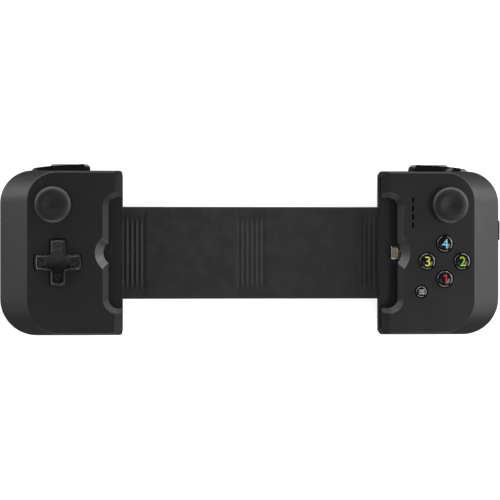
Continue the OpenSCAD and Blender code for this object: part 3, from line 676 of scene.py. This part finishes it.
INKS = {
    "north_button": printed_ink("ink_blue", (0.27, 0.76, 0.94)),
    "west_button": printed_ink("ink_yellow", (0.86, 0.82, 0.07)),
    "east_button": printed_ink("ink_green", (0.36, 0.68, 0.04)),
    "south_button": printed_ink("ink_red", (0.58, 0.022, 0.03)),
    "menu_button": printed_ink("ink_grey", (0.5, 0.54, 0.56)),
}


# Front shells
def side_x(z):
    """The outer side at a height, on its slope from the widest line to the face."""
    return SIDE_OUT + (FACE_OUT - SIDE_OUT) * (z - SPLIT) / (FACE - FACE_BREAK - SPLIT)


def front_solid(under=0):
    """The front half of a pod, or the same form lying a little under its surface."""
    levels = [(SPLIT, MOUTH + under, SIDE_OUT - under, HALF - under, WIDE_R - under, MOUTH_R, LOW_ROUND)]
    for turn in (0, 22.5, 45, 67.5, 90):
        inset = under + FACE_BREAK * (1 - math.cos(math.radians(turn)))
        z = FACE - under - FACE_BREAK + FACE_BREAK * math.sin(math.radians(turn))
        levels.append((z, MOUTH + under, FACE_OUT - inset, HALF - DRAFT - inset,
                       FACE_R - inset, MOUTH_R, LOW_ROUND))
    return loft(levels)


def front_shell(cut, reach, notch_r):
    """A front shell with its bay, its bosses, and the cut-out and round notch of its lip."""
    shell = front_solid()
    core = front_solid(under=1.2)
    carve(shell, loft([(z, WALL_IN, out - SIDE_WALL, HALF - WALL - narrow, corner_r, 1, LOW_ROUND)
                       for z, out, narrow, corner_r in (
                           (SPLIT - PAST, SIDE_OUT, 0, WIDE_R - WALL),
                           (SPLIT, SIDE_OUT, 0, WIDE_R - WALL),
                           (UNDER, side_x(UNDER), 0.9 * DRAFT, FACE_R - 1.8))]))
    carve(shell, block(MOUTH - PAST, PAD + PAD_T, -BAY_HALF, BAY_HALF, BAY_FLOOR, BAY_TOP))
    lap = 0.01
    carve(shell, block(MOUTH + WALL, WALL_IN + lap, -HALF + 3, HALF - 3, SPLIT - PAST, FLOOR_UNDER))
    carve(shell, block(MOUTH - PAST, MOUTH + WALL + lap, -STRAP_SLOT, STRAP_SLOT, SPLIT - PAST, FLOOR_UNDER))
    ends = (BAY_TOP - CUT_PAST, FACE + CUT_PAST)
    carve(shell, loft([(z, MOUTH - 8, MOUTH + cut + flare, CUT_HALF + flare, CUT_R + flare, 1)
                       for z, flare in zip(ends, CUT_FLARE)]))
    carve(shell, rod(MOUTH + cut + reach - notch_r, 0, *ends,
                     notch_r + NOTCH_FLARE[0], notch_r + NOTCH_FLARE[1], 128))
    trim(shell, (MOUTH + LIP_FLAT, 0, FACE), LIP_SLOPE)
    for x, y in BOSSES:
        boss = rod(x, y, BOSS_SEAT + 1.4, UNDER + 0.5, BOSS_R)
        carve(shell, carve(boss, core, "INTERSECT", keep=True), "UNION")
        carve(shell, rod(x, y, BOSS_SEAT, BOSS_SEAT + 1.9, SPIGOT_R), "UNION")
        carve(shell, rod(x, y, BOSS_SEAT - PAST, BOSS_SEAT + 6.5, THREAD_R, sides=32))
    bpy.data.objects.remove(core)
    carve(shell, rod(*STICK, UNDER - PAST, FACE + PAST, STICK_HOLE_R, sides=96))
    return shell


def left_front():
    shell = front_shell(cut=6.8, reach=2.6, notch_r=6.4)
    low = FACE - HOLLOW_DEEP
    bowl = [(r, low + HOLLOW_DEEP * (r / HOLLOW_R) ** 2) for r in (4, 7, 9, 11, 12.4, HOLLOW_R)]
    lip_r = HOLLOW_R + 0.6
    hollow = [(0, FACE + PAST), (0, low)] + bowl + [(lip_r, FACE + 0.2), (lip_r, FACE + PAST)]
    carve(shell, lathe(hollow, CLUSTER, DPAD_Y, 96))
    hole = cross_prism(length=25.2, arm=9, outer_r=1.7, inner_r=0.7, z0=UNDER - PAST, z1=FACE + PAST)
    work_on(hole)
    slide(CLUSTER, DPAD_Y, 0)
    carve(shell, hole)
    soften(to_left(shell), SHELL_EDGE)
    fit(shell, "left_front_cover", "left_pod", SHELL, ["left_front_shell"])


def led_slot(y):
    x = LED[0]
    wide, long = LED_SIZE
    slot = block(x - wide / 2, x + wide / 2, y - long / 2, y + long / 2, UNDER - PAST, FACE + PAST)
    round_edges(slot, LED_R, 6, lambda a, b: near(a.x, b.x) and near(a.y, b.y))
    return slot


def jack_hole():
    """A level hole through the lower wall."""
    length = 5
    hole = rod(0, 0, -length / 2, length / 2, JACK_R, sides=48)
    work_on(hole)
    turn_about("X", math.pi / 2)
    slide(JACK[0], length / 2 - HALF - PAST, JACK[1])
    leave()
    return hole


def right_front():
    shell = front_shell(cut=8.5, reach=1.8, notch_r=8.6)
    for place in BUTTON_PLACES.values():
        carve(shell, rod(*place, UNDER - PAST, FACE + PAST, BUTTON_R + BUTTON_GAP, sides=72))
    carve(shell, rod(*MENU, UNDER - PAST, FACE + PAST, MENU_R + BUTTON_GAP))
    carve(shell, block(PAD, PAD + 5, -3.7, 3.7, PLUG_Z - 1.1, PLUG_Z + 1.1))
    carve(shell, jack_hole())
    soften(shell, SHELL_EDGE)
    for row in (-1.5, -0.5, 0.5, 1.5):
        carve(shell, led_slot(LED[1] + row * LED_PITCH))
    even(shell)
    fit(shell, "right_front_cover", "right_pod", SHELL, ["right_front_shell"])


# Rear shells
def rear_levels(wall):
    """Outlines of the rear half of a pod with a wall's thickness taken off it."""
    mouth_r = MOUTH_R if wall else BACK_MOUTH_R

    def level(z, inset):
        return (z, MOUTH + inset + wall, SIDE_OUT - inset - wall, HALF - inset - wall,
                WIDE_R - inset / 2 - wall, mouth_r, LOW_ROUND)

    levels = []
    if wall:
        levels.append(level(wall, BACK_R * (1 - math.sqrt(1 - ((BACK_R - wall) / BACK_R) ** 2))))
    for i in range(9):
        turn = math.pi / 2 * i / 8
        z = BACK_R * (1 - math.cos(turn))
        if z >= wall:
            levels.append(level(z, BACK_R * (1 - math.sin(turn))))
    levels.append(level(SPLIT + PAST if wall else SPLIT, 0))
    return levels


def rear_shell():
    shell = loft(rear_levels(0))
    core = loft(rear_levels(WALL / 2))
    carve(shell, loft(rear_levels(WALL)))
    carve(shell, block(*BUMPER_OPENING))
    carve(shell, block(*TRIGGER_OPENING))
    for x, y in BOSSES:
        boss = rod(x, y, -PAST, BOSS_SEAT, BOSS_R)
        carve(shell, carve(boss, core, "INTERSECT", keep=True), "UNION")
        carve(shell, rod(x, y, -PAST, 9, HEAD_R, sides=48))
        carve(shell, rod(x, y, 1, 16, SHANK_R, sides=32))
    for pin, top, r in ((BUMPER_PIN, 9.1, 3), (TRIGGER_PIN, 4.3, 2.6)):
        post = rod(*pin, -PAST, top, r)
        carve(shell, carve(post, core, "INTERSECT", keep=True), "UNION")
    for pin, low, high in ((BUMPER_PIN, 5, 16), (TRIGGER_PIN, 1.2, 9)):
        carve(shell, rod(*pin, low, high, THREAD_R, sides=32))
    carve(shell, block(MOUTH - PAST, MOUTH + 3, -STRAP_SLOT, STRAP_SLOT, STRAP_LOW - 0.2, SPLIT + PAST))
    bpy.data.objects.remove(core)
    return shell


def rear_shells():
    shell = rear_shell()
    left = to_left(copy_of(shell))
    soften(left, SHELL_EDGE)
    fit(left, "left_back_cover", "left_pod", BACK, ["left_rear_shell"])
    y, z = PORT
    carve(shell, block(SIDE_OUT - 4, SIDE_OUT + 2, y - 4.45, y + 4.45, z - 1.85, z + 3.25))
    soften(shell, SHELL_EDGE)
    fit(shell, "right_back_cover", "right_pod", BACK, ["right_rear_shell"])


# Controls
def stick_caps():
    socket_top = CAP_UNDER + SHAFT_DEEP
    across, up = CAP_CROWN
    profile = [(0, socket_top), (SHAFT_R, socket_top), (SHAFT_R, CAP_UNDER), (CAP_R - CAP_FOOT, CAP_UNDER)]
    profile += arc(CAP_R - CAP_FOOT, CAP_UNDER + CAP_FOOT, CAP_FOOT, CAP_FOOT, -90, 0, 8)[1:]
    profile += arc(CAP_R - across, CAP_TOP - up, across, up, 0, 90, 15)
    profile += [(r, CAP_TOP - drop) for r, drop in DIMPLE]
    cap = lathe(profile, *STICK, 96)
    smooth(cap, 50)
    left = to_left(copy_of(cap))
    fit(cap, "right_thumb_cap", "right_stick", STICK_RUBBER, ["right_stick_cap"])
    fit(left, "left_thumb_cap", "left_stick", STICK_RUBBER, ["left_stick_cap"])


def on_corner(p):
    """Whether a point is on a corner of the cross, at an arm's end or between two arms."""
    less, more = sorted((abs(p.x), abs(p.y)))
    return near(less, DPAD_ARM) and (near(more, DPAD_ARM) or more > DPAD_END - 1)


def arrow(cross, turn):
    """A raised triangular line near the end of one arm, laid on the surface of the cross."""
    put_down()
    bpy.ops.mesh.primitive_circle_add(vertices=3, radius=ARROW_R * MM, fill_type="NGON")
    line = bpy.context.object
    work_on(line)
    slide(0, ARROW_OUT, FACE + 4)
    turn_about("Z", turn * math.pi / 2)
    bpy.ops.mesh.select_mode(type="FACE")
    bpy.ops.mesh.inset(thickness=ARROW_LINE * MM)
    bpy.ops.object.vertex_group_assign_new()
    bpy.ops.mesh.inset(thickness=ARROW_LINE * MM)
    bpy.ops.mesh.delete(type="FACE")
    leave()
    work_step(line, "SHRINKWRAP", target=cross, wrap_method="PROJECT", use_project_z=True,
              use_positive_direction=False, use_negative_direction=True)
    work_on(line)
    bpy.ops.mesh.select_all(action="DESELECT")
    bpy.ops.object.vertex_group_select()
    slide(0, 0, ARROW_RISE)
    leave()
    line.vertex_groups.clear()
    work_step(line, "SOLIDIFY", thickness=0.3 * MM, offset=-1)
    return line


def dpad_cross():
    """A cross with bowed arm ends, a rim, a dished top and raised arrows, on a round skirt."""
    put_down()
    bpy.ops.mesh.primitive_grid_add(x_subdivisions=6, y_subdivisions=6, size=6 * MM)
    cross = bpy.context.object
    work_on(cross)
    mark("FACE", lambda c, n: abs(c.x) > 1 and abs(c.y) > 1)
    bpy.ops.mesh.delete(type="FACE")
    for axis in (0, 1):
        for side in (-1, 1):
            for step, line in ((3, DPAD_END), (2, DPAD_KNEE), (1, DPAD_ARM)):
                mark("VERT", lambda p: near(p[axis], side * step))
                move = [0, 0, 0]
                move[axis] = side * (line - step)
                slide(*move)
    for dx, dy in WAYS:
        mark("VERT", lambda p: near(p.x * dx + p.y * dy, DPAD_END) and abs(p.x * dy + p.y * dx) > 1)
        slide(-DPAD_BOW * dx, -DPAD_BOW * dy, 0)
    bpy.ops.mesh.select_all(action="SELECT")
    slide(0, 0, FACE - DPAD_SUNK)
    pull(0, 0, DPAD_SUNK + DPAD_RISE)
    clean()
    work_on(cross)
    mark("EDGE", lambda a, b: abs(a.z - b.z) > 2 and on_corner(a))
    bpy.ops.mesh.bevel(offset=0.5 * MM, segments=2)
    mark("FACE", lambda c, n: n.z > 0.9)
    bpy.ops.mesh.region_to_loop()
    bpy.ops.mesh.bevel(offset=0.3 * MM, segments=2)
    mark("FACE", lambda c, n: n.z > 0.99)
    for width, drop in DPAD_RIM:
        bpy.ops.mesh.inset(thickness=width * MM, use_boundary=True)
        slide(0, 0, -drop)
    below_rim = FACE + DPAD_RISE - 0.35
    for reach, drop in DPAD_DISH:
        mark("VERT", lambda p: FACE < p.z < below_rim and max(abs(p.x), abs(p.y)) < reach)
        slide(0, 0, -drop)
    clean()
    work_step(cross, "SUBSURF", levels=3, render_levels=3)
    skirt = lathe([(0, SKIRT_LOW), (SKIRT_R, SKIRT_LOW), (SKIRT_R, SKIRT_TOP), (0, SKIRT_TOP)])
    carve(skirt, rod(0, 0, SKIRT_LOW - 0.4, SKIRT_LOW + 0.7, 2.4, 2.1, 48))
    join(cross, skirt, *[arrow(cross, turn) for turn in range(4)])
    work_on(cross)
    slide(CLUSTER, DPAD_Y, 0)
    put_down()
    smooth(cross, 40)
    fit(to_left(cross), "direction_cross", "dpad_cross", GLOSS, ["dpad"])


def dome_profile(r):
    """The crown of a button from its rounded edge to its middle."""
    points = []
    for i in range(14):
        turn = math.radians(90 * i / 14)
        points.append((r * math.cos(turn) ** 0.75, DOME_FOOT + (BUTTON_TOP - DOME_FOOT) * math.sin(turn)))
    return points + [(0, BUTTON_TOP)]


def button_profile(r):
    stem_r = r * STEM_SHARE
    flange_r = r + FLANGE_W
    foot = [(0, STEM_FOOT), (stem_r, STEM_FOOT), (stem_r, FLANGE_LOW), (flange_r, FLANGE_LOW)]
    return foot + [(flange_r, FLANGE_TOP), (r, FLANGE_TOP), (r, RIM_TOP)] + dome_profile(r)


def numeral(figure):
    """A figure of the built-in type as a closed solid."""
    put_down()
    bpy.ops.object.text_add(location=(0, 0, 0))
    text = bpy.context.object
    text.data.body = figure
    text.data.size = FIGURE_SIZE * MM
    text.data.resolution_u = 8
    take(text)
    bpy.ops.object.convert(target="MESH")
    solid = bpy.context.object
    left = min(v.co.x for v in solid.data.vertices) / MM
    height = max(v.co.y for v in solid.data.vertices) / MM
    work_on(solid)
    bpy.ops.mesh.remove_doubles(threshold=1e-6)
    if figure == "4":
        # Two corners that lie in line with others are lifted, so that the figure closes
        mark("VERT", lambda p: near(p.y, 1.568) and not 1 < p.x < 3)
        slide(0, 0.02, 0)
    bpy.ops.mesh.select_all(action="SELECT")
    bpy.ops.mesh.dissolve_limited(angle_limit=math.radians(1))
    if figure == "1":
        # The bar gets a flag at its top
        bpy.ops.mesh.select_all(action="SELECT")
        bpy.ops.mesh.bisect(plane_co=(0, 0.82 * height * MM, 0), plane_no=(0, 1, 0))
        mark("EDGE", lambda a, b: near(a.x, left) and near(b.x, left) and min(a.y, b.y) > 0.8 * height)
        pull(-1.05, -0.55, 0)
    bpy.ops.mesh.select_mode(type="FACE")
    bpy.ops.mesh.select_all(action="SELECT")
    pull(0, 0, SIGN_DEEP)
    clean()
    return solid


def menu_bars():
    half, thin = MENU_BAR[0] / 2, MENU_BAR[1] / 2
    return join(*[block(-half, half, y - thin, y + thin, 0, SIGN_DEEP) for y in MENU_BAR_ROWS])


def middle_of(piece, axis):
    places = [v.co[axis] for v in piece.data.vertices]
    return (min(places) + max(places)) / 2 / MM


def button(name, x, y, r, figure=None):
    """A gloss dome with a figure, or else three bars, inlaid flush with its crown."""
    knob = lathe(button_profile(r), x, y)
    smooth(knob, 45)
    fit(knob, name + "_dome", name, GLOSS, [name])
    sign = numeral(figure) if figure else menu_bars()
    step = (x - middle_of(sign, 0), y - middle_of(sign, 1), FACE + 0.5)
    work_on(sign)
    slide(*step)
    leave()
    rim_r = r + SIGN_PROUD
    crown = [(0, FACE - 1), (rim_r, FACE - 1), (rim_r, RIM_TOP + SIGN_PROUD)]
    crown += [(a + SIGN_PROUD if a else 0, z + SIGN_PROUD) for a, z in dome_profile(r)]
    carve(sign, lathe(crown, x, y), "INTERSECT")
    work_on(sign)
    clean()
    smooth(sign, 30)
    fit(sign, name + "_sign", name, INKS[name])


def face_buttons():
    for name, place in BUTTON_PLACES.items():
        button(name, *place, BUTTON_R, FIGURES[name])
    button("menu_button", *MENU, MENU_R)


# Shoulder buttons
def bumper():
    bar = block(WALL_IN + 3, WALL_IN + 32.8, HALF - 4, HALF + 3.45, BUMPER_LOW, BUMPER_TOP)
    for a, b in zip(BUMPER_EDGE, BUMPER_EDGE[1:]):
        trim(bar, (WALL_IN + a[0], HALF + a[1], 0), (b[1] - a[1], a[0] - b[0], 0))
    trim(bar, (WALL_IN + 20.5, HALF + 1, BUMPER_TOP), (0.22, -0.12, 0.968))
    trim(bar, (WALL_IN + 28, HALF + 1, 13), (0.5, 0, 0.866))
    low = BUMPER_LOW + 0.1
    backing = block(WALL_IN + 3.3, WALL_IN + 32.7, HALF - 3.9, HALF - 0.9, low, BUMPER_TOP - 0.02)
    carve(bar, backing, "UNION")
    carve(bar, rod(*BUMPER_PIN, low, 12.4, HUB_R, sides=48), "UNION")
    stop = block(WALL_IN + 1.4, WALL_IN + 3.8, HALF - 3.8, HALF - 2.4, BUMPER_LOW + 0.2, BUMPER_TOP - 0.2)
    carve(bar, stop, "UNION")
    carve(bar, rod(*BUMPER_PIN, 9, 15, HUB_BORE_R, sides=32))
    return bar


def trigger():
    paddle = block(WALL_IN + 2, WALL_IN + 25, HALF - 3.1, TRIGGER_OUT, TRIGGER_LOW, TRIGGER_TOP)
    trim(paddle, (0, HALF - 0.6, TRIGGER_LOW), (0, 0.625, -0.781))
    trim(paddle, (0, HALF + 2.15, 3.6), (0, 0.809, -0.588))
    round_edges(paddle, 2, 10, lambda a, b: near(a.z, TRIGGER_TOP) and near(b.z, TRIGGER_TOP)
                and min(a.y, b.y) > TRIGGER_OUT - 0.05)
    plan = block(WALL_IN + 2.6, WALL_IN + 23.6, HALF - 4, TRIGGER_OUT + 0.05, 0, 9)
    round_edges(plan, 2.2, 10, lambda a, b: near(a.x, b.x) and min(a.y, b.y) > HALF and abs(a.z - b.z) > 5)
    carve(paddle, plan, "INTERSECT")
    carve(paddle, block(WALL_IN + 3, WALL_IN + 18, HALF - 5.2, HALF - 2.9, 2.6, 7.5), "UNION")
    arm = block(WALL_IN + 17, WALL_IN + 24.4, HALF - 6.6, HALF - 2.8, 4.6, 7.4)
    carve(arm, rod(*TRIGGER_PIN, 4.5, 7.6, HUB_R, sides=48), "UNION")
    carve(paddle, arm, "UNION")
    carve(paddle, rod(*TRIGGER_PIN, 0, 9, HUB_BORE_R, sides=32))
    return paddle


def shoulder_buttons():
    for make, name, finish, edge in ((bumper, "bumper", GLOSS, (0.4, 3, 20)),
                                     (trigger, "trigger", TRIGGER, (0.25, 2, 28))):
        piece = make()
        for bar, side in ((to_left(copy_of(piece)), "left_"), (piece, "right_")):
            soften(bar, *edge)
            fit(bar, side + name + "_bar", side + name, finish, [side + name])


# Strap
def strap_length(x0, x1, hinge):
    """A soft length of strap with grooves across it about its hinge line."""
    columns = int(round((x1 - x0) / STRAP_GRID))
    put_down()
    bpy.ops.mesh.primitive_grid_add(x_subdivisions=columns, y_subdivisions=10, size=2 * MM)
    strap = bpy.context.object
    work_on(strap)
    stretch((x1 - x0) / 2, STRAP_HALF, 1)
    slide((x0 + x1) / 2, 0, STRAP_LOW)
    pull(0, 0, STRAP_TOP - STRAP_LOW)
    clean()
    work_on(strap)
    lines = [x0 + (x1 - x0) / columns * i for i in range(1, columns + 1, 2)]
    grooves = [x for x in lines if abs(x - hinge) < GROOVE_REACH]
    for side, level in ((1, STRAP_TOP), (-1, STRAP_LOW)):
        mark("VERT", lambda p: near(p.z, level) and abs(p.y) < GROOVE_HALF
             and any(near(p.x, x) for x in grooves))
        slide(0, 0, -side * GROOVE_DEEP)
    mark("EDGE", lambda a, b: near(abs(a.y), STRAP_HALF) and near(abs(b.y), STRAP_HALF) and near(a.z, b.z)
         and (near(a.z, STRAP_LOW) or near(a.z, STRAP_TOP)))
    bpy.ops.mesh.bevel(offset=0.7 * MM, segments=4)
    leave()
    smooth(strap, 35)
    return strap


def straps():
    for name, x0, x1, hinge, bodies, nodes in (
            ("left_strap", -STRAP_END, -STRAP_LAP, -HINGE, ("left_pod", "left_strap"), ["left_strap_end"]),
            ("middle_strap", -STRAP_LAP, STRAP_LAP, 0, ("left_strap", "right_strap"),
             ["left_strap_span", "right_strap_span"]),
            ("right_strap", STRAP_LAP, STRAP_END, HINGE, ("right_strap", "right_pod"), ["right_strap_end"])):
        strap = strap_length(x0, x1, hinge)
        fit(strap, name + "_rubber", None, STRAP_RUBBER, nodes)
        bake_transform(strap)


# Plug contacts
def plug_contacts():
    contacts = []
    for face in (-1, 1):
        for i in range(CONTACTS):
            y = (i - (CONTACTS - 1) / 2) * CONTACT_PITCH
            pad = block(*CONTACT_SPAN, y - CONTACT_HALF, y + CONTACT_HALF, -0.05, 0.05)
            work_on(pad)
            bpy.ops.mesh.bevel(offset=0.03 * MM, segments=2)
            slide(0, 0, PLUG_Z + face * CONTACT_RISE)
            leave()
            contacts.append(pad)
    strip = join(*contacts)
    smooth(strip)
    fit(strip, "plug_contacts", "right_pod", GOLD)


# Carried-over nodes with their finishes and edge rounding
NODE_FINISH = {
    "bay_pad": (PAD_RUBBER, 0.25),
    "circuit_board": (BOARD, 0.06),
    "shoulder_board": (BOARD, 0.06),
    "stick_base": (MODULE, 0.15),
    "stick_yoke": (NYLON, 0.1),
    "stick_shaft": (GLOSS, 0),
    "bumper_pin": (STEEL, 0.1),
    "trigger_pin": (STEEL, 0.1),
    "trigger_spring": (STEEL, 0),
    "screws": (DARK_STEEL, 0.08),
    "clamp_screws": (STEEL, 0.08),
    "strap_clamp": (STEEL, 0.15),
    "ribbon": (RIBBON, 0),
    "dpad_rocker": (NYLON, 0.08),
    "dpad_membrane": (MEMBRANE, 0.15),
    "button_membrane": (MEMBRANE, 0.15),
    "battery": (FOIL, 0.5),
    "light_guide": (SMOKE, 0.1),
    "charge_port": (DARK_STEEL, 0.1),
    "port_bezel": (BACK, 0.18),
    "headphone_jack": (INNER, 0.12),
    "device_plug": (PLUG_METAL, 0.18),
    "plug_carrier": (INNER, 0.15),
}


def dress_nodes():
    for name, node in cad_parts.items():
        key = name.replace("left_", "").replace("right_", "")
        if key not in NODE_FINISH:
            continue
        finish, edge = NODE_FINISH[key]
        for place in node.material_slots:
            place.material = finish
        if edge:
            add_step(node, "WELD", merge_threshold=2e-6)
            add_step(node, "DECIMATE", decimate_type="DISSOLVE", angle_limit=math.radians(0.6))
            add_step(node, "BEVEL", width=edge * MM, segments=3, limit_method="ANGLE",
                     angle_limit=math.radians(35))
            add_step(node, "WEIGHTED_NORMAL", keep_sharp=True)
        smooth(node, 35)


# Floor, lights and camera in metres: each light has its place, its target, its size and its power
LIGHTS = {
    "right_wall": ((0.9, 0, 0.3), (0, 0, 0.3), (1, 0.6), 6.8),
    "left_wall": ((-0.9, 0, 0.3), (0, 0, 0.3), (1, 0.6), 1.9),
    "low_wall": ((0, -0.95, 0.3), (0, 0, 0.3), (1.6, 0.6), 10),
    "top_strip": ((0, 0.95, 0.15), (0, 0, 0.15), (1.2, 0.3), 10),
    "right_strip": ((0.7, 0.55, 0.15), (0, 0, 0.15), (0.9, 0.3), 5.4),
    "left_strip": ((-0.7, 0.55, 0.15), (0, 0, 0.15), (0.9, 0.3), 5),
    "panel": ((0.825, -0.385, 1.5), (0.825, -0.386, 0), (0.55, 0.73), 3.7),
    "window": ((-0.2, -0.31, 1.5), (-0.2, -0.311, 0), (0.6, 0.58), 0.5),
    "floor_fill": ((0, 0, 1.6), (0, -0.001, 0), (2, 2), 5),
}
SKY_STRENGTH = 0.07
CAMERA_TARGET = (-0.0016, -0.0004, 0.029)
CAMERA_REACH = 0.8
CAMERA_TILT = math.radians(2.7)
CAMERA_LENS = 112.2


def lay_floor():
    put_down()
    bpy.ops.mesh.primitive_plane_add(size=8)
    floor = bpy.context.object
    floor.name = "floor"
    floor.data.materials.append(floor_paper())
    floor.visible_glossy = False


def aim(lamp, target):
    way = [t - p for t, p in zip(target, lamp.location)]
    level = math.hypot(way[0], way[1])
    lamp.rotation_mode = "XYZ"
    lamp.rotation_euler = (math.atan2(level, -way[2]), 0, math.atan2(way[1], way[0]) - math.pi / 2)


def hang_lights():
    world = bpy.data.worlds.new("studio")
    bpy.context.scene.world = world
    world.use_nodes = True
    sky = world.node_tree.nodes["Background"]
    sky.inputs["Color"].default_value = (1, 1, 1, 1)
    sky.inputs["Strength"].default_value = SKY_STRENGTH
    for name, (place, target, size, power) in LIGHTS.items():
        bpy.ops.object.light_add(type="AREA", location=place)
        lamp = bpy.context.object
        lamp.name = name
        lamp.data.shape = "RECTANGLE"
        lamp.data.size = size[0]
        lamp.data.size_y = size[1]
        lamp.data.energy = power
        lamp.visible_camera = False
        lamp.visible_glossy = name != "floor_fill"
        aim(lamp, target)


def set_camera():
    bpy.ops.object.camera_add()
    camera = bpy.context.object
    x, y, z = CAMERA_TARGET
    camera.location = (x - CAMERA_REACH * math.sin(CAMERA_TILT), y, z + CAMERA_REACH * math.cos(CAMERA_TILT))
    camera.rotation_euler = (0, -CAMERA_TILT, 0)
    camera.data.lens = CAMERA_LENS
    camera.data.sensor_width = 36
    camera.data.clip_start = 0.01
    camera.data.clip_end = 50
    bpy.context.scene.camera = camera
    bpy.context.scene.view_settings.view_transform = "Standard"


left_front()
right_front()
rear_shells()
stick_caps()
dpad_cross()
face_buttons()
shoulder_buttons()
straps()
plug_contacts()
dress_nodes()
lay_floor()
hang_lights()
set_camera()

put_down()
